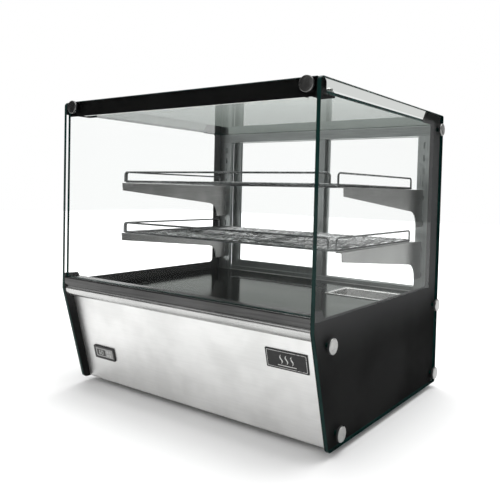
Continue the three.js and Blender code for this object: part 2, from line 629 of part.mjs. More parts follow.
// ---- Shelf brackets: bent steel arms hooked into the posts --------------------------------------------
const armFront = front + 153;
const armBack = postY - 3;
const hookPitch = 2 * SLOT_PITCH;
const armTip = 19;                       // height of the arm at its front end
const armTaper = 0.098;                  // growth of that height along the arm
const coveY = postY - 42;
const coveZ = -armTip - armTaper * (coveY - 2 - armFront);
const armBottom = -BRACKET_SLOT_DROP - hookPitch - 11;
const armOutline = outline([
  [armFront, 0],
  [armFront + 2, -armTip],
  [coveY, coveZ, Math.min(36, coveZ - armBottom)],
  [coveY, armBottom],
  [armBack, armBottom],
  [armBack, 0],
]);
const hookOutline = (drop) => outline([
  [armBack - 1, -drop - SLOT_HEIGHT / 2 + GAP],
  [postY + POST_SHEET + GAP, -drop - SLOT_HEIGHT / 2 + GAP],
  [postY + POST_SHEET + GAP, -drop - SLOT_HEIGHT / 2 - 4],
  [postY + POST_SHEET + 2.8, -drop - SLOT_HEIGHT / 2 - 4],
  [postY + POST_SHEET + 2.8, -drop + 3],
  [armBack - 1, -drop + 3],
]);
for (const [level, index] of Object.entries(SHELF_LEVELS)) {
  const z = slotZ(index) + BRACKET_SLOT_DROP;
  for (const [name, sign] of sides) {
    const x0 = sign * slotX - BRACKET_SHEET / 2;
    const flange = sign > 0
      ? box(-15, BRACKET_SHEET, armFront + 4, armBack - 20, -BRACKET_SHEET, 0)
      : box(0, BRACKET_SHEET + 15, armFront + 4, armBack - 20, -BRACKET_SHEET, 0);
    const arm = combine([
      alongX(armOutline, BRACKET_SHEET),
      alongX(hookOutline(BRACKET_SLOT_DROP), BRACKET_SHEET),
      alongX(hookOutline(BRACKET_SLOT_DROP + hookPitch), BRACKET_SHEET),
      flange,
    ]);
    place(displayCase, `shelf_bracket_${level}_${name}`, arm, brushedSteel(), [x0, 0, z]);
  }
}

// ---- Wire shelves with a raised guard on three sides ----------------------------------------------------
const shelfX = slotX - 13;
const shelfFront = armFront - 4;
const shelfBack = postY - 39;
const borderRadius = 3;
const guardHeight = 24;
const wires = [];
for (const y of [shelfFront, shelfBack]) wires.push(bar([-shelfX - 2, y, 0], [shelfX + 2, y, 0], borderRadius));
for (const x of [-shelfX, shelfX]) {
  wires.push(bar([x, shelfFront - 2, 0], [x, shelfBack + 2, 0], borderRadius));
  wires.push(bar([x, shelfFront, guardHeight], [x, shelfBack, guardHeight], 2.3));
  for (const y of [shelfFront, shelfBack]) wires.push(bar([x, y, 0], [x, y, guardHeight + 1], 2.3));
}
wires.push(bar([-shelfX, shelfFront, guardHeight], [shelfX, shelfFront, guardHeight], 2.3));
for (const share of [0.25, 0.5, 0.75]) {
  const y = shelfFront + share * (shelfBack - shelfFront);
  wires.push(bar([-shelfX, y, -0.8], [shelfX, y, -0.8], 2, 5));
}
const wireCount = Math.round(2 * shelfX / 30);
for (let index = 1; index < wireCount; index += 1) {
  const x = -shelfX + 2 * shelfX * index / wireCount;
  wires.push(bar([x, shelfFront, 1.4], [x, shelfBack, 1.4], 1.5, 5));
}
const shelfGeometry = combine(wires);
for (const [level, index] of Object.entries(SHELF_LEVELS)) {
  const z = slotZ(index) + BRACKET_SLOT_DROP + GAP + borderRadius;
  place(displayCase, `wire_shelf_${level}`, shelfGeometry.clone(), chrome(), [0, 0, z]);
}

// ---- Cap bolts that hold the panes ------------------------------------------------------------------------
const capRadius = CAP_DIAMETER / 2;
const capBolt = turned([
  [0, -18], [SHANK_RADIUS, -18], [SHANK_RADIUS, GAP], [capRadius - 2, GAP], [capRadius - 2, 1.6],
  [capRadius, 1.6], [capRadius, 5.6], [capRadius - 1.4, 7.1], [0, 7.2],
], 14);
for (const [name, sign] of sides) {
  for (const [spot, [y, z]] of Object.entries(sideBolts)) {
    place(displayCase, `glass_bolt_${name}_${spot}`, capBolt.clone(), chrome(),
      [sign * side, y, z], [0, 0, sign > 0 ? -Math.PI / 2 : Math.PI / 2]);
  }
  place(displayCase, `glass_bolt_${name}_front`, capBolt.clone(), chrome(),
    [sign * frontBolt[0], frontGlassY, frontBolt[1]], [Math.PI, 0, 0]);
}

export default displayCase;
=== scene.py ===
import json
import math

import bmesh
import bpy
import numpy as np
from mathutils.geometry import tessellate_polygon
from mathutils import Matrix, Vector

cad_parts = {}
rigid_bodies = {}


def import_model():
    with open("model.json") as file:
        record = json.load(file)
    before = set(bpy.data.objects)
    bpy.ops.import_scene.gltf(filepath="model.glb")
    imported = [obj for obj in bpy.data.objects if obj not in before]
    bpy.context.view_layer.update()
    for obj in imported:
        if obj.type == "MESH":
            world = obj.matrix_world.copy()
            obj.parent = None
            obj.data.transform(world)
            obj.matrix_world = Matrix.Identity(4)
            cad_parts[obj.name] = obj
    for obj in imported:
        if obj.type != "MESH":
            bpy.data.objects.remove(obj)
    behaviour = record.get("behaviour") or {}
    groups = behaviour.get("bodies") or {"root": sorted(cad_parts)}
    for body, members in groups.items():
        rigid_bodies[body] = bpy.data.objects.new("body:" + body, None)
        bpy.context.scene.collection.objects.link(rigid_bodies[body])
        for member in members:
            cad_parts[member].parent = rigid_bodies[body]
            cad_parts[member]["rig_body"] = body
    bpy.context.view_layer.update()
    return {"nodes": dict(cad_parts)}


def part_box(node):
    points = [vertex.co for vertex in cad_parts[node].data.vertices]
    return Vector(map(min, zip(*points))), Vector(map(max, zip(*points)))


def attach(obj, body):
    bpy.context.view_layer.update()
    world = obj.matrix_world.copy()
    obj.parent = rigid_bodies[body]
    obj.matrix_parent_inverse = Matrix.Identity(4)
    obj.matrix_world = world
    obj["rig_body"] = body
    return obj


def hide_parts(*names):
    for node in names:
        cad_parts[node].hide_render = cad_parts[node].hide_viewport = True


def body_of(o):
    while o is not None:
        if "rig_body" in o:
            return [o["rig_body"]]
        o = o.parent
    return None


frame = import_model()


# ---- Camera ----------------------------------------------------------------------------
# A customer's view of the case from the front right, with the eye level with the
# upper shelf, so that the underside of the glass top just shows.
lens = bpy.data.cameras.new("customer_view")
lens.sensor_width = 36
lens.lens = 43.005
lens.shift_x = -0.0128
lens.shift_y = -0.0776
camera = bpy.data.objects.new("customer_view", lens)
camera.location = (0.8638, -1.1831, 0.4859)
camera.rotation_euler = (math.radians(88.017), math.radians(-1.389), math.radians(36.227))
bpy.context.scene.collection.objects.link(camera)
bpy.context.scene.camera = camera
bpy.context.scene.view_settings.view_transform = "Standard"


# ---- Studio: pale floor, soft light ----------------------------------------------------
# A wide pale floor that fades to white away from the case, under a soft overhead light.
# The room is white behind the case on the left and dim elsewhere, which gives glass and
# steel their dark reflections.
def add_node(tree, kind, inputs=None, **settings):
    """A shader node with its settings. An input that is a socket is linked, a value is set."""
    made = tree.nodes.new("ShaderNode" + kind)
    for key, value in settings.items():
        setattr(made, key, value)
    for key, value in (inputs or {}).items():
        if isinstance(value, bpy.types.NodeSocket):
            tree.links.new(value, made.inputs[key])
        else:
            made.inputs[key].default_value = value
    return made


def mixed(tree, factor, a, b):
    """The colour between a and b at that factor."""
    return add_node(tree, "Mix", {0: factor, 6: a, 7: b}, data_type="RGBA").outputs[2]


def ramped(tree, value, low, high, to_low=0.0, to_high=1.0):
    """A smooth step: to_low where value is under low, to_high where it is over high."""
    step = add_node(tree, "MapRange", {0: value, 1: low, 2: high, 3: to_low, 4: to_high},
                    interpolation_type="SMOOTHSTEP")
    return step.outputs[0]


room = bpy.data.worlds.new("room")
bpy.context.scene.world = room
room.use_nodes = True
sky = room.node_tree
sky.nodes.clear()
towards = add_node(sky, "TexCoord").outputs["Generated"]
heading = add_node(sky, "SeparateXYZ", {0: towards})
behind = ramped(sky, heading.outputs["Y"], -0.45, 0.35)
near_wall = mixed(sky, ramped(sky, heading.outputs["X"], -0.60, -0.35), (0.08, 0.08, 0.08, 1),
                  (0.50, 0.50, 0.50, 1))
far_wall = mixed(sky, ramped(sky, heading.outputs["X"], -0.05, 0.35), (1.06, 1.06, 1.06, 1),
                 (0.34, 0.34, 0.34, 1))
walls = mixed(sky, behind, near_wall, far_wall)
overhead = ramped(sky, heading.outputs["Z"], 0.3, 0.8)
seen_by_pieces = mixed(sky, overhead, walls, (1.0, 1.0, 1.0, 1))
direct = add_node(sky, "LightPath").outputs["Is Camera Ray"]
glow = add_node(sky, "Background", {
    "Color": mixed(sky, direct, seen_by_pieces, (1, 1, 1, 1)),
    "Strength": 1.0,
})
sky.links.new(glow.outputs[0], add_node(sky, "OutputWorld").inputs["Surface"])

lamp = bpy.data.lights.new("overhead_softbox", "AREA")
lamp.shape = "RECTANGLE"
lamp.size = 2.4
lamp.size_y = 1.8
lamp.energy = 48
softbox = bpy.data.objects.new("overhead_softbox", lamp)
softbox.location = (0.1, 0.3, 2.3)
bpy.context.scene.collection.objects.link(softbox)

span = np.linspace(-9, 9, 7)
across, along = np.meshgrid(span, span, indexing="ij")
floor_points = np.stack([across, along, np.zeros_like(across)], -1).reshape(-1, 3)


def grid_faces(rows, columns, wrap_rows=False, wrap_columns=False):
    """Quads between neighbours on a grid of rows x columns points, counted row by row."""
    i, j = np.meshgrid(np.arange(rows - (not wrap_rows)), np.arange(columns - (not wrap_columns)),
                       indexing="ij")
    below, right = (i + 1) % rows, (j + 1) % columns
    quads = np.stack([i * columns + j, i * columns + right, below * columns + right,
                      below * columns + j], -1)
    return quads.reshape(-1, 4).tolist()


ground = bpy.data.meshes.new("floor")
ground.from_pydata(floor_points.tolist(), [], [q[::-1] for q in grid_faces(7, 7)])
floor = bpy.data.objects.new("floor", ground)
bpy.context.scene.collection.objects.link(floor)
pale = bpy.data.materials.new("pale_floor")
pale.use_nodes = True
tree = pale.node_tree
mottle = add_node(tree, "TexNoise", {
    "Vector": add_node(tree, "TexCoord").outputs["Object"],
    "Scale": 3.0,
})
matt = tree.nodes["Principled BSDF"]
tree.links.new(mixed(tree, mottle.outputs[0], (0.93, 0.93, 0.93, 1), (0.96, 0.96, 0.96, 1)),
               matt.inputs["Base Color"])
away = add_node(tree, "VectorMath", {0: add_node(tree, "TexCoord").outputs["Object"]}, operation="LENGTH")
fade = ramped(tree, away.outputs["Value"], 0.6, 2.6)
tree.links.new(mixed(tree, fade, (0.0, 0.0, 0.0, 1), (0.6, 0.6, 0.6, 1)), matt.inputs["Emission Color"])
matt.inputs["Emission Strength"].default_value = 1.0
matt.inputs["Roughness"].default_value = 0.9
ground.materials.append(pale)


# ---- Glass panes -----------------------------------------------------------------------
# Four tempered panes stand round the case: 8 mm sides that also close the base, a 6 mm
# front and a 6 mm top. Their cut edges are polished to a narrow arris and look dark
# green. Bolts with round caps hold them.
MM = 0.001
BOLT_HOLE = 4.5


def corner_outline(corners, steps=6):
    """A closed outline through (a, b, radius) corners.

    Each corner with a radius becomes an arc that is tangent to both of its sides: the
    centre lies on the corner's bisector at radius / sin(half the angle).
    """
    corners = [(*c, 0)[:3] for c in corners]
    outline = []
    for index, (a, b, radius) in enumerate(corners):
        corner = np.array([a, b])
        if not radius:
            outline.append(corner[None])
            continue
        u = np.array(corners[index - 1][:2]) - corner
        v = np.array(corners[(index + 1) % len(corners)][:2]) - corner
        u, v = u / np.linalg.norm(u), v / np.linalg.norm(v)
        half = math.acos(np.clip(u @ v, -1, 1)) / 2
        centre = corner + (u + v) / np.linalg.norm(u + v) * radius / math.sin(half)
        start = corner + u * radius / math.tan(half) - centre
        end = corner + v * radius / math.tan(half) - centre
        sweep = math.atan2(start[0] * end[1] - start[1] * end[0], start @ end)
        turn = np.linspace(0, sweep, steps + 1)[:, None]
        side = np.array([-start[1], start[0]])
        outline.append(centre + start * np.cos(turn) + side * np.sin(turn))
    return np.concatenate(outline)


def box_outline(a0, b0, a1, b1, radius, steps=6):
    """A rectangle's outline between two opposite corners, all four rounded alike."""
    return corner_outline([(a0, b0, radius), (a1, b0, radius), (a1, b1, radius), (a0, b1, radius)], steps)


def ring_outline(a, b, radius, count=24):
    """A hole's outline: a circle that runs clockwise."""
    angle = -2 * math.pi * np.arange(count) / count
    return np.stack([a + radius * np.cos(angle), b + radius * np.sin(angle)], -1)


def slab(outlines, thickness, arris=0.0):
    """A flat plate cut along closed (u, v) outlines, the first its edge, the rest its holes.

    The outlines are repeated at each depth. At both faces they are pulled into the
    material by the arris, along the mitre of the two side normals at every corner.
    Returns points (u, v, depth), faces, and a mark for each face: 1 on edges, 0 on flats.
    """
    depths = [0, arris, thickness - arris, thickness] if arris else [0, thickness]
    pull = [arris, 0, 0, arris] if arris else [0, 0]
    pulled = []
    for outline in outlines:
        before = outline - np.roll(outline, 1, 0)
        after = np.roll(outline, -1, 0) - outline
        n0 = np.stack([-before[:, 1], before[:, 0]], -1) / np.linalg.norm(before, axis=1)[:, None]
        n1 = np.stack([-after[:, 1], after[:, 0]], -1) / np.linalg.norm(after, axis=1)[:, None]
        pulled.append((n0 + n1) / (1 + (n0 * n1).sum(1))[:, None])
    count = sum(map(len, outlines))
    flat = np.concatenate(outlines)
    mitre = np.concatenate(pulled)
    points = np.concatenate([
        np.column_stack([flat + mitre * p, np.full(count, d)]) for d, p in zip(depths, pull)
    ])
    faces, first = [], 0
    for outline in outlines:
        here = first + np.arange(len(outline))
        ahead = np.roll(here, -1)
        for layer in range(len(depths) - 1):
            low, high = layer * count, (layer + 1) * count
            faces += np.stack([here + low, ahead + low, ahead + high, here + high], -1).tolist()
        first += len(outline)
    marks = [1] * len(faces)
    rings = np.split(flat, np.cumsum([len(o) for o in outlines])[:-1])
    cover = np.array(tessellate_polygon([[(*p, 0) for p in ring] for ring in rings]))
    a, b, c = flat[cover[:, 0]], flat[cover[:, 1]], flat[cover[:, 2]]
    turned = (b - a)[:, 0] * (c - a)[:, 1] - (b - a)[:, 1] * (c - a)[:, 0] < 0
    cover[turned] = cover[turned][:, ::-1]
    faces += cover[:, ::-1].tolist() + (cover + count * (len(depths) - 1)).tolist()
    return points, faces, marks + [0] * (2 * len(cover))


def marked(shape, mark, lift=0.0):
    """A plate raised by the lift, with the same mark on all its faces."""
    points, faces, marks = shape
    return points + [0, 0, lift], faces, [mark] * len(marks)


def upright_x(shape, x):
    """Stands a (u, v, depth) plate across X: u along Y, v up, its depth from x towards +X."""
    points, faces, marks = shape
    return points[:, [2, 0, 1]] + [x, 0, 0], faces, marks


def upright_y(shape, y):
    """Stands a plate across Y: u along X, v up, its depth from y towards -Y."""
    points, faces, marks = shape
    return points[:, [0, 2, 1]] * [1, -1, 1] + [0, y, 0], faces, marks


def level(shape, z):
    """Lays a plate flat: u along X, v along Y, its depth from z upwards."""
    points, faces, marks = shape
    return points + [0, 0, z], faces, marks


def joined(shapes):
    """Several shapes as one, each keeping its marks."""
    points, faces, marks = [], [], []
    for some_points, some_faces, some_marks in shapes:
        shift = sum(map(len, points))
        points.append(some_points)
        faces += [[i + shift for i in face] for face in some_faces]
        marks += list(some_marks)
    return np.concatenate(points), faces, marks


def make_piece(name, shape, materials, body, replaced=(), crease=32):
    """Puts a shape given in millimetres into the scene as one piece.

    Points at the same place are merged, so poles and seams are closed, faces are smooth
    except across edges sharper than the crease angle, and each face's mark is its material.
    """
    points, faces, marks = shape
    mesh = bpy.data.meshes.new(name)
    mesh.from_pydata((np.asarray(points) * MM).tolist(), [], [list(map(int, f)) for f in faces])
    mesh.polygons.foreach_set("material_index", np.array(marks, np.int32))
    work = bmesh.new()
    work.from_mesh(mesh)
    bmesh.ops.remove_doubles(work, verts=work.verts, dist=2e-7)
    bmesh.ops.recalc_face_normals(work, faces=work.faces)
    work.to_mesh(mesh)
    work.free()
    mesh.polygons.foreach_set("use_smooth", np.ones(len(mesh.polygons), bool))
    mesh.set_sharp_from_angle(angle=math.radians(crease))
    for each in materials:
        mesh.materials.append(each)
    piece = bpy.data.objects.new(name, mesh)
    bpy.context.scene.collection.objects.link(piece)
    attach(piece, body)
    if replaced:
        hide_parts(*replaced)
    return piece


def box_mm(node):
    """A CAD node's lowest and highest corners in millimetres."""
    low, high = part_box(node)
    return np.array(low) / MM, np.array(high) / MM


def clear_glass(name, square_tint, grazing_tint, gloss, clear_z=(-1, 2), clear_y=2, head_tint=None):
    """Clear glass: tinted see-through colour, more at a shallow angle, under a mirror
    layer that grows with the Fresnel term on the side where light enters the pane.

    The mirror layer stops outside the clear area, where enamel backs the glass: it lies
    between two heights and in front of a depth, in metres. Above the area the see-through
    colour is the head tint.
    """
    made = bpy.data.materials.new(name)
    made.use_nodes = True
    tree = made.node_tree
    tree.nodes.clear()
    ripple = add_node(tree, "TexNoise", {
        "Vector": add_node(tree, "TexCoord").outputs["Object"], "Scale": 9.0, "Detail": 1.0})
    facing = add_node(tree, "LayerWeight", {"Blend": 0.5}).outputs["Facing"]
    edge_on = ramped(tree, facing, 0.76, 0.93)
    tint = mixed(tree, edge_on, (*square_tint, 1), (*grazing_tint, 1))
    spot = add_node(tree, "SeparateXYZ", {0: add_node(tree, "TexCoord").outputs["Object"]})
    if head_tint:
        tint = mixed(tree, ramped(tree, spot.outputs["Z"], clear_z[1] - 0.001, clear_z[1] + 0.001), tint,
                     (*head_tint, 1))
    clear = gloss
    for value, low, high in ((spot.outputs["Z"], clear_z[0] - 0.002, clear_z[0]),
                             (spot.outputs["Z"], clear_z[1] + 0.002, clear_z[1]),
                             (spot.outputs["Y"], clear_y + 0.002, clear_y)):
        inside = add_node(tree, "MapRange", {0: value, 1: low, 2: high}).outputs[0]
        clear = add_node(tree, "Math", {0: inside, 1: clear}, operation="MULTIPLY").outputs[0]
    see_through = add_node(tree, "BsdfTransparent", {"Color": tint})
    mirror = add_node(tree, "BsdfPrincipled", {
        "Base Color": mixed(tree, ripple.outputs[0], (0.93, 0.96, 0.95, 1), (0.97, 0.99, 0.98, 1)),
        "Roughness": 0.02,
        "Metallic": 1.0,
    })
    shine = add_node(tree, "Fresnel", {"IOR": 1.5}).outputs[0]
    entering = add_node(tree, "Math", {0: 1.0, 1: add_node(tree, "NewGeometry").outputs["Backfacing"]},
                        operation="SUBTRACT").outputs[0]
    share = add_node(tree, "Math", {0: shine, 1: clear}, operation="MULTIPLY").outputs[0]
    share = add_node(tree, "Math", {0: share, 1: entering}, operation="MULTIPLY").outputs[0]
    pane = add_node(tree, "MixShader", {0: share, 1: see_through.outputs[0], 2: mirror.outputs[0]})
    tree.links.new(pane.outputs[0], add_node(tree, "OutputMaterial").inputs["Surface"])
    return made


def streaks_and_clouds_group():
    """Node group: streaks drawn out by a stretch, and slow clouds.

    Streaks are fine noise read at coordinates times the stretch. Clouds are broad noise
    read at the plain coordinates. Both are values from 0 to 1.
    """
    group = bpy.data.node_groups.new("streaks_and_clouds", "ShaderNodeTree")
    face = group.interface
    face.new_socket("Coordinates", in_out="INPUT", socket_type="NodeSocketVector")
    face.new_socket("Stretch", in_out="INPUT", socket_type="NodeSocketVector")
    face.new_socket("Cloud Scale", in_out="INPUT", socket_type="NodeSocketFloat")
    face.new_socket("Streaks", in_out="OUTPUT", socket_type="NodeSocketFloat")
    face.new_socket("Clouds", in_out="OUTPUT", socket_type="NodeSocketFloat")
    given = group.nodes.new("NodeGroupInput").outputs
    drawn = add_node(group, "VectorMath", {0: given["Coordinates"], 1: given["Stretch"]},
                     operation="MULTIPLY").outputs[0]
    fine = add_node(group, "TexNoise", {"Vector": drawn, "Scale": 1.0, "Detail": 5.0, "Roughness": 0.6})
    slow = add_node(group, "TexNoise", {"Vector": given["Coordinates"], "Scale": given["Cloud Scale"],
                                        "Detail": 3.0})
    result = group.nodes.new("NodeGroupOutput").inputs
    group.links.new(ramped(group, fine.outputs[0], 0.3, 0.7), result["Streaks"])
    group.links.new(ramped(group, slow.outputs[0], 0.35, 0.65), result["Clouds"])
    return group


streaks_and_clouds = streaks_and_clouds_group()


def surface(name, dark, light, roughness, metallic, stretch=(900, 900, 900), cloud_scale=6.0,
            cloud_share=0.4, spread=0.08, bump=0.05, specular=0.5):
    """An opaque finish whose colour runs from dark to light with its streaks and clouds.

    Its roughness moves with the streaks by the spread, and they are also its fine relief.
    """
    made = bpy.data.materials.new(name)
    made.use_nodes = True
    tree = made.node_tree
    skin = tree.nodes["Principled BSDF"]
    pattern = add_node(tree, "Group", node_tree=streaks_and_clouds)
    tree.links.new(add_node(tree, "TexCoord").outputs["Object"], pattern.inputs["Coordinates"])
    pattern.inputs["Stretch"].default_value = stretch
    pattern.inputs["Cloud Scale"].default_value = cloud_scale
    tone = add_node(tree, "Mix", {0: cloud_share, 2: pattern.outputs["Streaks"],
                                  3: pattern.outputs["Clouds"]}).outputs[0]
    tree.links.new(mixed(tree, tone, (*dark, 1), (*light, 1)), skin.inputs["Base Color"])
    rough = add_node(tree, "MapRange", {0: pattern.outputs["Streaks"], 3: roughness - spread / 2,
                                        4: roughness + spread / 2}).outputs[0]
    tree.links.new(rough, skin.inputs["Roughness"])
    skin.inputs["Metallic"].default_value = metallic
    skin.inputs["Specular IOR Level"].default_value = specular
    relief = add_node(tree, "Bump", {"Strength": bump, "Distance": 0.0002,
                                     "Height": pattern.outputs["Streaks"]})
    tree.links.new(relief.outputs[0], skin.inputs["Normal"])
    return made


side_face = clear_glass("side_pane_glass", (0.992, 0.996, 0.994), (0.95, 0.97, 0.96), 0.3,
                        clear_z=(0.262, 0.663), clear_y=0.237, head_tint=(0.80, 0.81, 0.80))
front_face = clear_glass("front_pane_glass", (0.992, 0.996, 0.994), (0.95, 0.97, 0.96), 0.14,
                         clear_z=(0.1, 0.650))
top_face = clear_glass("top_pane_glass", (0.94, 0.955, 0.945), (0.36, 0.39, 0.37), 0.45)
pane_edge = surface("polished_glass_edge", (0.002, 0.014, 0.012), (0.005, 0.028, 0.024), 0.16, 0.0,
                    stretch=(40, 40, 40), spread=0.1, bump=0.01, specular=0.12)

side_low, side_high = box_mm("side_glass_right")
front, foot, back, head = side_low[1], side_low[2], side_high[1], side_high[2]
deck_top = box_mm("deck")[1][2]
bolt_centres = {
    name: (box_mm(name)[0] + box_mm(name)[1]) / 2
    for name in frame["nodes"] if name.startswith("glass_bolt")
}
front_step, toe = deck_top + 2, front + 63
side_corners = [(toe, foot, 12), (back, foot, 6), (back, head, 6), (front, head, 10), (front, front_step)]


def side_holes(hand):
    """The holes for the cap bolts of one side pane."""
    return [ring_outline(c[1], c[2], BOLT_HOLE) for n, c in bolt_centres.items()
            if n.startswith(f"glass_bolt_{hand}_") and n != f"glass_bolt_{hand}_front"]


for hand in ("left", "right"):
    low, high = box_mm(f"side_glass_{hand}")
    cut = slab([corner_outline(side_corners), *side_holes(hand)], high[0] - low[0], 0.8)
    make_piece(f"side_pane_{hand}", upright_x(cut, low[0]), [side_face, pane_edge], "case",
               [f"side_glass_{hand}"])

low, high = box_mm("front_glass")
front_holes = [ring_outline(c[0], c[2], BOLT_HOLE) for n, c in bolt_centres.items() if n.endswith("_front")]
front_corners = [(low[0], low[2], 1), (high[0], low[2], 1), (high[0], high[2], 3), (low[0], high[2], 3)]
cut = slab([corner_outline(front_corners), *front_holes], high[1] - low[1], 0.7)
make_piece("front_pane", upright_y(cut, high[1]), [front_face, pane_edge], "case",
           ["front_glass"])
front_inside = high[1]

low, high = box_mm("top_glass")
top_outline = box_outline(low[0], low[1], high[0], high[1], 3)
STUD_X, STUD_Y = 331.5, low[1] + 42
top_holes = [ring_outline(x, STUD_Y, 3.2, 16) for x in (-STUD_X, STUD_X)]
cut = slab([top_outline, *top_holes], high[2] - low[2], 0.7)
top_face_z = high[2]
make_piece("top_pane", level(cut, low[2]), [top_face, pane_edge], "case", ["top_glass"])


# ---- Black printing on the panes -------------------------------------------------------
# Fired black enamel on the inside of the glass hides the base, the rear posts and the
# brackets: a skirt with a stepped front end and an upright band on each side pane, two
# corner patches on each, and a strip along the head of the front pane.
enamel = surface("black_enamel", (0.011, 0.011, 0.011), (0.020, 0.020, 0.020), 0.5, 0.0,
                 stretch=(6, 5, 9), cloud_scale=5.0, cloud_share=0.7, spread=0.1, bump=0.0, specular=0.0)
front_enamel = surface("black_front_enamel", (0.0025, 0.0025, 0.0025), (0.005, 0.005, 0.005), 0.5, 0.0,
                       stretch=(9, 40, 30), cloud_scale=5.0, cloud_share=0.6, spread=0.1, bump=0.0,
                       specular=0.06)


def blend_above(material, low, high, colour):
    """Turns a finish's base colour into another between two heights, given in metres."""
    tree = material.node_tree
    base = tree.nodes["Principled BSDF"].inputs["Base Color"]
    place = add_node(tree, "SeparateXYZ", {0: add_node(tree, "TexCoord").outputs["Object"]})
    share = ramped(tree, place.outputs["Z"], low, high)
    tree.links.new(mixed(tree, share, base.links[0].from_socket, (*colour, 1)), base)


band_enamel = enamel.copy()
band_enamel.name = "black_band_enamel"
blend_above(band_enamel, 0.16, 0.30, (0.054, 0.054, 0.055))
FILM, CLEARANCE = 0.3, 0.1
EDGE = 0.5
skirt_top = deck_top + 22
band = back - 68
patch_foot = head - 28
skirt = corner_outline([
    (toe + EDGE, foot + EDGE, 12), (back - EDGE, foot + EDGE, 6), (back - EDGE, head - EDGE, 6),
    (back - 103, head - EDGE, 3), (back - 121, head - 23, 3), (back - 119, patch_foot, 2),
    (band, patch_foot, 6), (band, skirt_top, 11), (front + 47, skirt_top, 2),
    (front + 39, skirt_top + 15, 2), (front + EDGE, skirt_top + 17, 1), (front + EDGE, front_step),
])
corner_patch = corner_outline([
    (front + EDGE, patch_foot - 2, 1), (front + 33, patch_foot - 2, 3), (front + 33, head - EDGE, 8),
    (front + EDGE, head - EDGE, 9),
])
for hand in ("left", "right"):
    low, high = box_mm(f"side_glass_{hand}")
    x = low[0] - CLEARANCE - FILM if hand == "right" else high[0] + CLEARANCE
    film = joined([marked(slab([skirt, *side_holes(hand)], FILM), 1),
                   marked(slab([corner_patch], FILM), 0)])
    make_piece(f"side_print_{hand}", upright_x(film, x), [enamel, band_enamel], "case")
low, high = box_mm("front_glass")
strip = corner_outline([(low[0] + 0.3, head - 34), (high[0] - 0.3, head - 34),
                        (high[0] - 0.3, head - 0.3, 3), (low[0] + 0.3, head - 0.3, 3)])
film = marked(slab([strip, *front_holes], FILM), 0)
make_piece("front_print", upright_y(film, front_inside + CLEARANCE + FILM), [front_enamel], "case")


# ---- Cap bolts -------------------------------------------------------------------------
# Each pane hangs on bolts with a wide cap: a black turned stem on a washer, with a
# polished face and rounded rim; the cap's round side is coloured black as painted shade.
# The two front caps have a darker plating.
def turned(profile, origin, axis, count=40, marks=None):
    """A turned piece: (radius, height) points carried round an axis line.

    A point sits at origin + height * axis + radius * (cos t * u + sin t * v), where u and v
    are two directions across the axis and t goes once round.
    """
    axis = np.array(axis, float)
    u = np.roll(np.abs(axis), 1)
    v = np.cross(axis, u)
    radius, height = np.array(profile, float).T
    t = 2 * math.pi * np.arange(count) / count
    circle = np.cos(t)[:, None] * u + np.sin(t)[:, None] * v
    points = origin + height[:, None, None] * axis + radius[:, None, None] * circle
    faces = grid_faces(len(radius), count, wrap_columns=True)
    bands = np.repeat(marks if marks is not None else np.zeros(len(radius) - 1, int), count)
    return points.reshape(-1, 3), faces, bands.tolist()


cap_steel = surface("polished_cap_steel", (0.27, 0.27, 0.265), (0.38, 0.38, 0.37), 0.30, 1.0,
                    stretch=(60, 60, 60), cloud_scale=30.0, spread=0.08, bump=0.015)
black_washer_and_shade = surface("black_spacer_and_painted_rim_shade", (0.010, 0.010, 0.010), (0.022, 0.022, 0.022), 0.5, 0.0)
front_cap_steel = surface("dark_polished_cap", (0.10, 0.10, 0.098), (0.17, 0.17, 0.166), 0.26, 1.0,
                          stretch=(60, 60, 60), cloud_scale=30.0, spread=0.08, bump=0.015)
front_low, front_high = box_mm("glass_bolt_right_front")
OUT = front_high[1] - front_low[1] - 18
bolt_profile = np.concatenate([
    [(0, -17.6), (3.4, -17.6), (4, -17), (4, 0.35), (12.8, 0.35), (13, 0.5), (13, 1.6), (14.2, 1.6)],
    corner_outline([(15, 1.6, 0.4), (15, OUT, 1.6), (0, OUT)], 5)[:-1],
    [(6, OUT - 0.05), (0, OUT)],
])
# Mark 1, the black finish, covers the stem, the washer and the cap's round side wall; on the side wall it
# is painted shade.
washer_and_shaded_side_marks = np.where(np.arange(len(bolt_profile) - 1) < 14, 1, 0)
for name, centre in bolt_centres.items():
    low, high = box_mm(name)
    if name.endswith("_front"):
        origin, axis = np.array([centre[0], low[1] + OUT, centre[2]]), (0, -1, 0)
    else:
        sign = 1 if "right" in name else -1
        outer = high[0] if sign > 0 else low[0]
        origin, axis = np.array([outer - sign * OUT, centre[1], centre[2]]), (sign, 0, 0)
    skin = front_cap_steel if name.endswith("_front") else cap_steel
    make_piece(name.replace("glass_bolt", "cap_bolt"), turned(bolt_profile, origin, axis, marks=washer_and_shaded_side_marks),
               [skin, black_washer_and_shade], "case", [name])


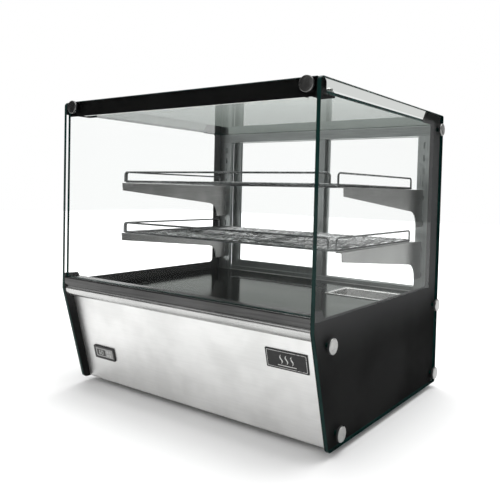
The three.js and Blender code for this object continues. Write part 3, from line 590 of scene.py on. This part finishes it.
# ---- Sheet metal and profiles kept from the model --------------------------------------
# Pressed sheets and extrusions with the model's own shape: each keeps its outline and gets
# the small rounded edges that folding, sawing and deburring leave.
def eased(node, name, material, width=0.4):
    """A copy of a CAD node with merged points, flat faces made whole and its edges rounded."""
    source = frame["nodes"][node]
    mesh = source.data.copy()
    mesh.name = name
    work = bmesh.new()
    work.from_mesh(mesh)
    bmesh.ops.remove_doubles(work, verts=work.verts, dist=2e-6)
    bmesh.ops.dissolve_limit(work, angle_limit=math.radians(0.6), verts=work.verts, edges=work.edges)
    work.to_mesh(mesh)
    work.free()
    mesh.polygons.foreach_set("use_smooth", np.ones(len(mesh.polygons), bool))
    mesh.materials.clear()
    mesh.materials.append(material)
    mesh.polygons.foreach_set("material_index", np.zeros(len(mesh.polygons), np.int32))
    piece = bpy.data.objects.new(name, mesh)
    bpy.context.scene.collection.objects.link(piece)
    bevel = piece.modifiers.new("rounded_edges", "BEVEL")
    bevel.width = width * MM
    bevel.segments = 2
    bevel.limit_method = "ANGLE"
    bevel.angle_limit = math.radians(40)
    bevel.use_clamp_overlap = True
    piece.modifiers.new("even_shading", "WEIGHTED_NORMAL").keep_sharp = True
    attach(piece, body_of(source)[0])
    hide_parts(node)
    return piece


aluminium = surface("satin_grey_aluminium", (0.33, 0.35, 0.345), (0.46, 0.48, 0.475), 0.32, 0.95,
                    stretch=(900, 900, 14), cloud_scale=5.0, spread=0.1)
rail_aluminium = surface("satin_grey_rail", (0.24, 0.255, 0.25), (0.42, 0.44, 0.435), 0.34, 0.95,
                         stretch=(14, 900, 900), cloud_scale=5.0, spread=0.1)
bracket_steel = surface("brushed_bracket_steel", (0.20, 0.202, 0.198), (0.30, 0.302, 0.296), 0.36, 1.0,
                        stretch=(900, 16, 900), cloud_scale=14.0, spread=0.12)
inner_steel = surface("mill_finish_steel", (0.36, 0.37, 0.37), (0.48, 0.49, 0.49), 0.42, 1.0,
                      stretch=(20, 700, 700))
back_steel = surface("brushed_back_steel", (0.34, 0.34, 0.335), (0.44, 0.44, 0.435), 0.42, 1.0,
                     stretch=(16, 240, 240), cloud_scale=9.0, cloud_share=0.7, spread=0.08, bump=0.012)
panel_steel = surface("brushed_panel_steel", (0.72, 0.72, 0.71), (0.86, 0.86, 0.85), 0.40, 1.0,
                      stretch=(16, 240, 240), cloud_scale=9.0, cloud_share=0.75, spread=0.08, bump=0.012)
deck_steel = surface("polished_deck", (0.22, 0.23, 0.225), (0.34, 0.35, 0.345), 0.12, 1.0,
                     stretch=(3, 24, 24), cloud_scale=4.0, spread=0.01, bump=0.0, specular=0.09)
deck_skin = deck_steel.node_tree.nodes["Principled BSDF"]
deck_skin.inputs["Specular Tint"].default_value = (0.36, 0.37, 0.36, 1)
black_coat = surface("black_coated_steel", (0.006, 0.006, 0.006), (0.013, 0.013, 0.013), 0.45, 0.0,
                     specular=0.0)

for hand in ("left", "right"):
    eased(f"rear_post_{hand}", f"slotted_post_{hand}", aluminium, 0.3)
    eased(f"door_frame_{hand}", f"sliding_frame_{hand}", aluminium, 0.5)
    eased(f"corner_bracket_{hand}", f"glass_corner_{hand}", black_coat, 0.4)
    eased(f"side_plate_{hand}", f"base_side_{hand}", inner_steel, 0.3)
    for row in ("lower", "upper"):
        eased(f"shelf_bracket_{row}_{hand}", f"shelf_arm_{row}_{hand}", bracket_steel,
              0.35)
eased("rear_top_rail", "head_rail", rail_aluminium, 0.5)
eased("door_track", "sliding_track", rail_aluminium, 0.3)
eased("front_panel", "slanted_panel", panel_steel, 0.4)
eased("deck", "heated_deck", deck_steel, 0.3)
eased("base_pan", "floor_pan", inner_steel, 0.4)
eased("rear_panel", "back_sheet", back_steel, 0.3)


# ---- Front rail ------------------------------------------------------------------------
# A stainless moulding between the side panes. Its square lip carries the front pane, a
# groove runs under the lip, and a polished round nose turns back under the deck.
def smooth_curve(points, steps=5):
    """A Catmull-Rom curve through the points: a cubic between each two neighbours whose
    end slopes are half the difference of the points on either side."""
    p = np.array([2 * np.array(points[0]) - points[1], *points, 2 * np.array(points[-1]) - points[-2]])
    t = np.linspace(0, 1, steps, endpoint=False)[None, :, None]
    p0, p1, p2, p3 = (p[i:len(p) - 3 + i, None] for i in range(4))
    curve = 0.5 * (2 * p1 + (p2 - p0) * t + (2 * p0 - 5 * p1 + 4 * p2 - p3) * t ** 2
                   + (3 * p1 - p0 - 3 * p2 + p3) * t ** 3)
    return np.concatenate([curve.reshape(-1, 2), p[-2:-1]])


def bar_along_x(outline, x0, x1, marks=None):
    """A straight bar from x0 to x1 whose section is a closed (y, z) outline."""
    count = len(outline)
    points = np.concatenate([
        np.column_stack([np.full(count, x), outline]) for x in (x0, x1)
    ])
    here = np.arange(count)
    ahead = np.roll(here, -1)
    faces = np.stack([here, ahead, ahead + count, here + count], -1).tolist()
    sides = list(marks) if marks is not None else [0] * count
    return points, faces + [here[::-1].tolist(), (here + count).tolist()], sides + [0, 0]


rail_low, rail_high = box_mm("front_rail")
nose = smooth_curve([(5.2, 6.8), (3.6, 4.4), (3.0, 0), (4.4, -5.5), (7.6, -10.5), (12.5, -14.5),
                     (19, -17.2), (26, -18)])
lip = smooth_curve([(2.4, 29.4), (1.2, 28.0), (0.8, 22), (1.0, 15), (2.6, 10.6), (5.2, 8.6)])
rail_outline = np.concatenate([[(43, -18), (43, 22), (38, 29.7), (3.2, 29.7)], lip, nose[:-1]])
heights = (rail_outline[:, 1] + np.roll(rail_outline, -1, 0)[:, 1]) / 2
# Faces above 7.6 mm (the lip, its top and its back) get mark 1: the same steel coloured near black, a
# painted dark reflection.
painted_lip_marks = np.where(heights > 7.6, 1, 0)
rail_section = rail_outline[::-1] + [front, deck_top]
rail_steel = surface("brushed_nose_steel", (0.44, 0.44, 0.435), (0.60, 0.60, 0.59), 0.26, 1.0,
                     stretch=(10, 400, 400), cloud_scale=6.0, spread=0.08, bump=0.02)
# The lip's steel is coloured near black as a painted dark reflection of the dim room in front; the nose
# keeps the steel's own colour.
lip_painted_dark_reflection = surface("lip_steel_painted_dark_reflection", (0.045, 0.045, 0.045), (0.10, 0.10, 0.099), 0.20, 1.0,
                    stretch=(8, 400, 400), cloud_scale=5.0, spread=0.1, bump=0.02)
make_piece("nose_rail", bar_along_x(rail_section, rail_low[0], rail_high[0], np.roll(painted_lip_marks[::-1], -1)),
           [rail_steel, lip_painted_dark_reflection], "case", ["front_rail"])


# ---- Light bar -------------------------------------------------------------------------
# A thin aluminium channel under the glass top, just behind the front pane, with a frosted
# lens over its lamps and a black cap at each end.
lens_frost = surface("frosted_lens", (0.70, 0.71, 0.69), (0.80, 0.81, 0.79), 0.45, 0.0,
                     stretch=(80, 80, 80))
END_CAP = 3
low, high = box_mm("light_bar")
y0, y1, z0, z1 = low[1], high[1], low[2], high[2]
channel = corner_outline([(y0, z0 + 1.4), (y0 + 1.2, z0 + 1.4), (y0 + 1.2, z1 - 1.2), (y1 - 1.2, z1 - 1.2),
                          (y1 - 1.2, z0 + 1.4), (y1, z0 + 1.4), (y1, z1, 0.6), (y0, z1, 0.6)])
cover = corner_outline([(y0 + 1.3, z1 - 1.4), (y0 + 1.3, z0 + 0.9), (y0 + 3, z0, 1.2), (y1 - 3, z0, 1.2),
                        (y1 - 1.3, z0 + 0.9), (y1 - 1.3, z1 - 1.4)])
cap = corner_outline([(y0, z0, 1), (y1, z0, 1), (y1, z1, 0.6), (y0, z1, 0.6)])
points, faces, marks = joined([
    bar_along_x(channel, low[0] + END_CAP, high[0] - END_CAP, [0] * len(channel)),
    bar_along_x(cover, low[0] + END_CAP, high[0] - END_CAP, [1] * len(cover)),
    bar_along_x(cap, low[0], low[0] + END_CAP, [2] * len(cap)),
    bar_along_x(cap, high[0] - END_CAP, high[0], [2] * len(cap)),
])
make_piece("lamp_bar", (points, faces, marks), [rail_aluminium, lens_frost, black_coat], "case",
           ["light_bar"])


# ---- Temperature controller ------------------------------------------------------------
# A digital controller in a black snap-in housing on the slanted panel. Its grey face has
# a dark window with a two-digit reading and four small keys.
PANEL_SLANT = math.radians(14.37)
panel_right = np.array([1.0, 0, 0])
panel_up = np.array([0, -math.sin(PANEL_SLANT), math.cos(PANEL_SLANT)])
panel_out = np.cross(panel_right, panel_up)


def on_face(shape, centre, right, up):
    """Carries (u, v, depth) points to centre + u * right + v * up + depth * (right x up)."""
    points, faces, marks = shape
    return centre + points @ np.array([right, up, np.cross(right, up)]), faces, marks


def plate(width, height, radius, bottom, top, u=0.0, v=0.0, arris=0.0, mark=0):
    """A flat rounded rectangle round (u, v) from depth bottom to depth top."""
    w, h = width / 2, height / 2
    edge = box_outline(u - w, v - h, u + w, v + h, radius, 4)
    return marked(slab([edge], top - bottom, arris), mark, bottom)


def strokes(lines, width, bottom, top, mark):
    """Straight strokes of one width: each (u0, v0, u1, v1) line becomes a long hexagon."""
    shapes = []
    for u0, v0, u1, v1 in lines:
        a, b = np.array([u0, v0]), np.array([u1, v1])
        along = (b - a) / np.linalg.norm(b - a) * width / 2
        side = np.array([-along[1], along[0]])
        edge = np.array([a - along, a - side, b - side, b + along, b + side, a + side])
        shapes.append(marked(slab([edge], top - bottom), mark, bottom))
    return joined(shapes)


def digit(lit, u, v, width=5.0, height=9.6):
    """The lit strokes of a seven-stroke figure round (u, v): top, upper right, lower right,
    bottom, lower left, upper left, middle."""
    a, b, gap = width / 2, height / 2, 0.35
    lines = [(-a + gap, b, a - gap, b), (a, b - gap, a, gap), (a, -gap, a, -b + gap),
             (-a + gap, -b, a - gap, -b), (-a, -gap, -a, -b + gap), (-a, b - gap, -a, gap),
             (-a + gap, 0, a - gap, 0)]
    return [(u + p, v + q, u + r, v + s) for on, (p, q, r, s) in zip(lit, lines) if on]


housing = surface("black_plastic_housing", (0.012, 0.012, 0.012), (0.024, 0.024, 0.024), 0.38, 0.0,
                  stretch=(500, 500, 500), spread=0.12)
face_grey = surface("grey_display_face", (0.25, 0.25, 0.245), (0.34, 0.34, 0.335), 0.32, 0.0,
                    stretch=(60, 60, 60), cloud_share=0.7)
window_dark = surface("dark_window", (0.035, 0.035, 0.034), (0.055, 0.055, 0.053), 0.18, 0.0,
                      stretch=(30, 30, 30))
figure_pale = surface("pale_figures", (0.55, 0.56, 0.54), (0.66, 0.67, 0.65), 0.4, 0.0,
                      stretch=(90, 90, 90))
key_light = surface("light_keys", (0.42, 0.42, 0.41), (0.52, 0.52, 0.51), 0.4, 0.0, stretch=(90, 90, 90))
# A thin pale strip along the right edge of the housing's rim, lighter than the black housing.
bezel_edge = surface("pale_bezel_edge_strip", (0.30, 0.30, 0.30), (0.46, 0.46, 0.455), 0.3, 0.2,
                     stretch=(120, 120, 120), cloud_scale=40.0)
low, high = box_mm("display_face")
middle = (low + high) / 2 - 2.4 * panel_out
low, high = box_mm("display_bezel")
wide, tall = high[0] - low[0], 33.0
rim = joined([
    plate(wide, tall, 3, 0.3, 2.0),
    plate(wide - 7.5, tall - 6.5, 2, -36, 0.3),
    marked(slab([box_outline(-wide / 2, -tall / 2, wide / 2, tall / 2, 3, 4),
                 box_outline(-wide / 2 + 5, -tall / 2 + 5, wide / 2 - 5, tall / 2 - 5, 1.5, 4)[::-1]],
                2.0, 0.8), 0, 2.0),
])
make_piece("controller_housing", on_face(rim, middle, panel_right, panel_up), [housing], "case",
           ["display_bezel"])
side_strip = plate(1.6, tall - 3, 0.7, 3.9, 3.99, u=wide / 2 - 1.7)
make_piece("controller_edge_strip", on_face(side_strip, middle, panel_right, panel_up), [bezel_edge],
           "case")
screen = joined([
    plate(wide - 10.6, tall - 10.6, 1.2, 2.1, 3.0),
    plate(30, 15.5, 1.0, 3.0, 3.12, u=-11, mark=1),
    strokes(digit((1, 0, 1, 1, 1, 1, 1), -15.5, 0) + digit((1, 1, 1, 1, 1, 1, 0), -7.5, 0)
            + [(-1.4, 3.4, -1.4, 3.5)], 1.1, 3.12, 3.2, 2),
    *[plate(6.4, 6.0, 1.2, 3.0, 3.5, u=u, v=v, arris=0.2, mark=3) for u in (12, 21) for v in (-4.4, 4.4)],
])
make_piece("controller_face", on_face(screen, middle, panel_right, panel_up),
           [face_grey, window_dark, figure_pale, key_light], "case", ["display_face"])


# ---- Plate on the slanted panel --------------------------------------------------------
# A black anodised plate with a narrow bright line round it and three rising waves, the
# sign for warm food. It is glued flat on the panel.
plate_black = surface("black_anodised_plate", (0.010, 0.010, 0.010), (0.020, 0.020, 0.020), 0.34, 0.3,
                      stretch=(30, 600, 600))
plate_bright = surface("bright_plate_lines", (0.42, 0.42, 0.41), (0.58, 0.58, 0.57), 0.3, 0.7,
                       stretch=(200, 200, 200))
low, high = box_mm("name_plate")
middle = (low + high) / 2 - 0.9 * panel_out
wide, tall = high[0] - low[0], 40.0
PLATE_FACE, LINE_FACE = 1.42, 1.48
outer, inner = (box_outline(inset - wide / 2, inset - tall / 2, wide / 2 - inset, tall / 2 - inset, 2, 3)
                for inset in (3.0, 3.9))
line = marked(slab([outer, inner[::-1]], LINE_FACE - PLATE_FACE), 1, PLATE_FACE)


def wave(u, low_v, high_v, sway, width, bottom, top, mark, steps=24):
    """A wavy stroke round u, from low_v to high_v.

    Its middle is u + sway * sin(one turn), and its width swells and narrows as a half sine.
    """
    t = np.linspace(0, 1, steps)
    middle_line = u + sway * np.sin(2 * math.pi * t)
    half = width / 2 * (0.25 + np.sin(math.pi * t))
    v = low_v + (high_v - low_v) * t
    edge = np.concatenate([np.column_stack([middle_line + half, v]),
                           np.column_stack([middle_line - half, v])[::-1]])
    return marked(slab([edge], top - bottom), mark, bottom)


signs = [wave(u, -8, 10, 2.2, 2.6, PLATE_FACE, LINE_FACE, 1) for u in (-12, 0, 12)]
dish = strokes([(-20, -11.5, 20, -11.5)], 1.6, PLATE_FACE, LINE_FACE, 1)
badge = joined([plate(wide, tall, 2, 0.3, PLATE_FACE, arris=0.3), line, *signs, dish])
make_piece("warm_food_plate", on_face(badge, middle, panel_right, panel_up), [plate_black, plate_bright],
           "case", ["name_plate"])


# ---- Wire shelves ----------------------------------------------------------------------
# Two chromed wire shelves lie loose on their arms. Each has a thick border, a second
# front wire, close thin wires from front to back over four cross wires, and three low
# guard rails bent down at their ends. All the wires are welded where they cross.
def rounded_loop(x0, y0, x1, y1, radius, z=0.0, steps=6):
    """A level rounded rectangle as points."""
    edge = box_outline(x0, y0, x1, y1, radius, steps)
    return np.column_stack([edge, np.full(len(edge), z)])


def wire(path, radius, across, sides=8, closed=False, mark=0):
    """A round wire along a path that lies in one plane, whose normal is across.

    At each point the section is radius * (cos t * across + sin t * outward), where
    outward is square to both the path and the plane's normal.
    """
    path, across = np.asarray(path, float), np.asarray(across, float)
    if closed:
        ahead = np.roll(path, -1, 0) - path
        ahead /= np.linalg.norm(ahead, axis=1)[:, None]
        along = ahead + np.roll(ahead, 1, 0)
    else:
        ahead = np.diff(path, axis=0)
        ahead /= np.linalg.norm(ahead, axis=1)[:, None]
        along = np.concatenate([ahead[:1], ahead[1:] + ahead[:-1], ahead[-1:]])
    outward = np.cross(along / np.linalg.norm(along, axis=1)[:, None], across)
    t = 2 * math.pi * np.arange(sides) / sides
    points = (path[:, None] + radius * (np.cos(t)[:, None] * across
                                        + np.sin(t)[:, None] * outward[:, None]))
    faces = grid_faces(len(path), sides, wrap_rows=closed, wrap_columns=True)
    if not closed:
        faces += [list(range(sides)), list(range((len(path) - 1) * sides, len(path) * sides))]
    return points.reshape(-1, 3), faces, [mark] * len(faces)


def bent_rail(start, end, foot_z, top_z, radius=7.0):
    """The path of a guard rail: up at start, level to end, and down again, its bends round."""
    start, end = np.array(start, float), np.array(end, float)
    length = np.linalg.norm(end - start)
    edge = corner_outline([(0, foot_z), (0, top_z, radius), (length, top_z, radius), (length, foot_z)], 6)
    return np.column_stack([start + np.outer(edge[:, 0], (end - start) / length), edge[:, 1]])


# The border, front, cross and guard wires are chrome coloured dark as painted shade; the thin wires' colour
# runs from black to bright in short dashes, painted reflections and glints.
shade_painted_chrome = surface("shaded_chrome_wire", (0.05, 0.055, 0.055), (0.16, 0.165, 0.165), 0.14, 1.0,
                      stretch=(60, 60, 60), cloud_scale=25.0, spread=0.1, bump=0.01)
chrome = surface("bright_chrome_wire", (0.0, 0.0, 0.0), (0.85, 0.86, 0.86), 0.10, 1.0,
                 stretch=(70, 50, 70), cloud_scale=40.0, cloud_share=0.5, spread=0.06, bump=0.01)
BORDER_WIRE, GUARD_WIRE, CROSS_WIRE, THIN_WIRE, THIN_COUNT = 2.6, 2.3, 1.9, 1.6, 45
for row in ("lower", "upper"):
    low, high = box_mm(f"wire_shelf_{row}")
    (x0, y0), (x1, y1) = low[:2] + BORDER_WIRE, high[:2] - BORDER_WIRE
    z = low[2] + 3.0
    rail = high[2] - GUARD_WIRE
    wires = [wire(rounded_loop(x0, y0, x1, y1, 12, z), BORDER_WIRE, (0, 0, 1), 10, closed=True)]
    wires.append(wire([(x0, y0 + 9, z - 0.6), (x1, y0 + 9, z - 0.6)], 2.0, (0, 0, 1)))
    for share in (0.2, 0.4, 0.6, 0.8):
        y = y0 + share * (y1 - y0)
        wires.append(wire([(x0, y, z - 0.6), (x1, y, z - 0.6)], CROSS_WIRE, (0, 0, 1)))
    for x in np.linspace(x0, x1, THIN_COUNT + 2)[1:-1]:
        wires.append(wire([(x, y0, z + 2.0), (x, y1, z + 2.0)], THIN_WIRE, (0, 0, 1), 6, mark=1))
    guard = bent_rail((x0 + 1.2, y0 + 0.6), (x1 - 16, y0 + 0.6), z, rail)
    wires.append(wire(guard, GUARD_WIRE, (0, 1, 0), 10))
    for x in (x0 + 0.6, x1 - 0.6):
        wires.append(wire(bent_rail((x, y0 + 7), (x, y1 - 8), z, rail), 2.1, (1, 0, 0), 10))
    make_piece(f"shelf_of_wire_{row}", joined(wires), [shade_painted_chrome, chrome], f"shelf_{row}",
               [f"wire_shelf_{row}"], crease=40)


# ---- Water tray ------------------------------------------------------------------------
# A drawn stainless tray that keeps the air moist. Its flat rim lies on the deck and its
# bowl hangs through an opening in it, so it lifts straight out.
tray_steel = surface("drawn_tray_steel", (0.50, 0.50, 0.49), (0.62, 0.62, 0.61), 0.28, 1.0,
                     stretch=(30, 300, 300), cloud_scale=12.0)
low, high = box_mm("water_tray")
tall = high[2] - low[2]
section = [(16, 0.6, 6), (12, 1.6, 8), (9.4, 5, 10), (7.6, tall - 1.6, 12), (0.3, tall - 1.6, 8),
           (0, tall - 1.1, 8), (0, tall - 0.5, 8), (0.5, tall, 8), (6.8, tall, 12), (8.4, tall - 0.7, 12),
           (9.0, tall - 2.4, 12), (10.6, 6.4, 10), (13, 3.2, 8), (17, 2.0, 6)]
loops = np.concatenate([
    rounded_loop(low[0] + inset, low[1] + inset, high[0] - inset, high[1] - inset, radius, low[2] + height)
    for inset, height, radius in section
])
around = len(loops) // len(section)
faces = grid_faces(len(section), around, wrap_columns=True)
faces += [list(range(around)), list(range(len(loops) - around, len(loops)))]
make_piece("moisture_tray", (loops, faces, [0] * len(faces)), [tray_steel], "water_tray",
           ["water_tray"], crease=50)


# ---- Rims of the air slots -------------------------------------------------------------
# The warm air comes up through twenty slots in the deck, in a row beside the tray. Each has
# a low rim round it that keeps crumbs and drops out, coloured dark as painted shade so the slots read dark.
SLOT_COUNT, SLOT_PITCH, RIM_HEIGHT = 20, 15, 0.9
tray_left, tray_front = box_mm("water_tray")[0][:2]
slot_front, slot_back = tray_front + 50, tray_front + 76
slots = []
for index in range(SLOT_COUNT):
    x = tray_left - 41 - SLOT_PITCH * index
    outer, inner = (box_outline(x - half, slot_front - beyond, x + half, slot_back + beyond, radius, 4)
                    for half, beyond, radius in ((4.6, 1.6, 4), (3.1, 0.1, 2)))
    slots.append(marked(slab([outer, inner[::-1]], RIM_HEIGHT, 0.25), 0, deck_top + 0.02))
make_piece("air_slot_rims", joined(slots), [shade_painted_chrome], "case")


# ---- Door panes ------------------------------------------------------------------------
# Each sliding door is a 4 mm pane held in the grooves of its aluminium frame.
door_face = clear_glass("door_glass", (0.993, 0.997, 0.995), (0.95, 0.97, 0.96), 0.35)
for hand in ("left", "right"):
    low, high = box_mm(f"door_glass_{hand}")
    edge = box_outline(low[0], low[2], high[0], high[2], 1, 2)
    make_piece(f"door_pane_{hand}", upright_y(slab([edge], high[1] - low[1], 0.4), high[1]),
               [door_face, pane_edge], f"door_{hand}", [f"door_glass_{hand}"])


# ---- Works under the deck --------------------------------------------------------------
# A sheathed heating coil, a small axial fan below the air slots, and a terminal block.
# They sit inside the base, out of sight until the base is opened.
heater = surface("heat_tinted_sheath", (0.16, 0.13, 0.10), (0.30, 0.27, 0.23), 0.38, 0.9,
                 stretch=(40, 40, 40), cloud_scale=20.0, cloud_share=0.7, spread=0.14)
fan_black = surface("fan_plastic", (0.014, 0.014, 0.015), (0.030, 0.030, 0.032), 0.42, 0.0,
                    stretch=(300, 300, 300))
terminal_green = surface("terminal_plastic", (0.02, 0.10, 0.045), (0.04, 0.16, 0.07), 0.45, 0.0,
                         stretch=(200, 200, 200))
eased("heating_element", "heating_coil", heater, 0.15)
eased("fan_frame", "fan_housing", fan_black, 0.5)
eased("fan_rotor", "fan_wheel", fan_black, 0.2)
eased("terminal_block", "terminal_strip", terminal_green, 0.4)


# ---- Thermostat ------------------------------------------------------------------------
# A thermostat in the back sheet with a fluted knob. A pale line on the knob reads against
# a ring of ticks printed round it.
eased("thermostat_body", "thermostat_case", housing, 0.4)
low, high = box_mm("thermostat_knob")
middle = np.array([(low[0] + high[0]) / 2, low[1], (low[2] + high[2]) / 2])
tall = high[1] - low[1]
profile = np.array([(0, 0.1), (14.2, 0.1), (14.6, 0.5), (13.6, 1.5), (12.6, 1.9), (12.2, tall - 1.4),
                    (11.4, tall - 0.5), (9.6, tall - 0.25), (8.6, tall - 0.9), (0, tall - 0.9)])
flute = np.array([0, 0, 0, 0, 0.55, 0.55, 0.3, 0, 0, 0])
AROUND, FLUTES = 96, 16
t = 2 * math.pi * np.arange(AROUND) / AROUND
radius = profile[:, :1] - flute[:, None] * (1 - np.cos(FLUTES * t)) / 2
points = np.stack([middle[0] + radius * np.cos(t), middle[1] + np.repeat(profile[:, 1:], AROUND, 1),
                   middle[2] + radius * np.sin(t)], -1).reshape(-1, 3)
faces = grid_faces(len(profile), AROUND, wrap_columns=True)
back_right, upwards = np.array([-1.0, 0, 0]), np.array([0, 0, 1.0])
pointer = on_face(plate(1.5, 7, 0.6, tall - 0.95, tall - 0.6, v=4.4, mark=1), middle, back_right, upwards)
make_piece("thermostat_dial", joined([(points, faces, [0] * len(faces)), pointer]), [housing, figure_pale],
           "thermostat_knob", ["thermostat_knob"])
panel_back = box_mm("rear_panel")[1][1]
turns = np.radians(np.arange(0, 271, 27))
NEAR, FAR = 18.6, 21.4
ticks = strokes([(NEAR * math.sin(a), NEAR * math.cos(a), FAR * math.sin(a), FAR * math.cos(a))
                 for a in turns], 0.9, 0.02, 0.1, 0)
spot = np.array([middle[0], panel_back, middle[2]])
dark_ink = surface("printed_ink", (0.012, 0.012, 0.012), (0.020, 0.020, 0.020), 0.5, 0.0)
make_piece("thermostat_ticks", on_face(ticks, spot, back_right, upwards), [dark_ink], "case")


# ---- Rocker switches -------------------------------------------------------------------
# Two snap-in rocker switches in the back sheet, one for the heat and one for the light,
# each with a stroke and a ring moulded on its rocker.
cream = surface("cream_plastic", (0.62, 0.59, 0.50), (0.70, 0.67, 0.58), 0.36, 0.0,
                stretch=(300, 300, 300))
for name, rocker_skin, finish in (("power", housing, "black_plastic"), ("light", cream, "cream_plastic")):
    eased(f"{name}_switch_housing", f"{name}_switch_case", housing, 0.5)
    eased(f"{name}_switch_rocker", f"{name}_rocker_key", rocker_skin, 0.5)


# ---- Cord gland ------------------------------------------------------------------------
# A ribbed plastic gland low on the back sheet takes the cord into the base.
low, high = box_mm("cable_gland")
middle = np.array([(low[0] + high[0]) / 2, high[1], (low[2] + high[2]) / 2])
profile = [(4.2, -17), (9.4, -17), (9.8, -16.6), (9.8, -7.0), (14.4, -6.8), (14.7, -6.4), (14.7, -3.6),
           (14.2, -3.0), (12.2, -2.8), (12.0, -1.2), (11.0, -0.3), (8.0, 0), (5.2, 0), (4.2, -0.8),
           (4.2, -17)]
make_piece("cord_gland", turned(profile, middle, (0, 1, 0), 36), [housing], "case",
           ["cable_gland"])


# ---- Feet ------------------------------------------------------------------------------
# Four rubber feet with a chamfered sole, each screwed up into the floor pan.
rubber = surface("black_rubber", (0.012, 0.012, 0.012), (0.028, 0.028, 0.028), 0.7, 0.0,
                 stretch=(400, 400, 400))
for place in ("front_left", "front_right", "rear_left", "rear_right"):
    low, high = box_mm(f"foot_{place}")
    middle = np.array([(low[0] + high[0]) / 2, (low[1] + high[1]) / 2, low[2]])
    wide, tall = (high[0] - low[0]) / 2, high[2] - low[2]
    profile = [(0, 0), (wide - 3.4, 0), (wide - 2.6, 0.6), (wide - 1.2, 8), (wide, 11), (wide, 13.4),
               (wide - 0.6, 14), (6.0, 14), (5.6, 14.4), (4.0, 14.6), (4.0, tall), (0, tall)]
    make_piece(f"rubber_foot_{place}", turned(profile, middle, (0, 0, 1), 36), [rubber], "case",
               [f"foot_{place}"])


# ---- Nuts and screws -------------------------------------------------------------------
# A hexagon nut and washer behind each front corner bracket, a stud with its nut where the
# bracket's foot clamps the glass top, and pan-head screws round the back sheet.
nut_steel = surface("zinc_nut_steel", (0.50, 0.50, 0.49), (0.66, 0.66, 0.65), 0.26, 1.0,
                    stretch=(120, 120, 120))
for hand in ("left", "right"):
    name = f"glass_bolt_{hand}_front"
    centre = bolt_centres[name]
    seat = np.array([centre[0], box_mm(f"corner_bracket_{hand}")[0][1] + 6.2, centre[2]])
    washer = turned([(4.2, 0), (8.2, 0), (8.2, 0.9), (4.2, 0.9), (4.2, 0)], seat, (0, 1, 0), 28)
    nut = turned([(4.2, 0.9), (6.6, 0.9), (7.4, 1.5), (7.4, 5.0), (6.6, 5.6), (4.2, 5.6), (4.2, 0.9)], seat,
                 (0, 1, 0), 6)
    sign = 1 if hand == "right" else -1
    over = np.array([sign * STUD_X, STUD_Y, top_face_z])
    stud = turned([(0, -5.4), (2.8, -5.4), (2.8, 7.6), (2.2, 8.4), (0, 8.4)], over, (0, 0, 1), 20)
    flat = turned([(2.8, 0.1), (9.4, 0.1), (9.4, 1.4), (2.8, 1.4), (2.8, 0.1)], over, (0, 0, 1), 32)
    top_nut = turned([(2.8, 1.4), (7.0, 1.4), (7.8, 2.2), (7.8, 6.0), (7.0, 6.9), (2.8, 6.9), (2.8, 1.4)],
                     over, (0, 0, 1), 6)
    make_piece(f"corner_nut_{hand}", joined([washer, nut, stud, flat, top_nut]), [nut_steel], "case",
               crease=25)
low, high = box_mm("rear_panel")
screw_spots = [(x, z) for x in (low[0] + 14, 0.0, high[0] - 14) for z in (26, high[2] - 9)]
screw_profile = [(0, 0.05), (3.6, 0.05), (3.7, 0.4), (3.2, 1.4), (2.0, 2.0), (0.9, 2.1), (0.7, 1.0),
                 (0, 0.9)]
for index, (x, z) in enumerate(screw_spots):
    screw = turned(screw_profile, np.array([x, high[1], z]), (0, 1, 0), 20)
    make_piece(f"sheet_screw_{index + 1}", screw, [nut_steel], "case")
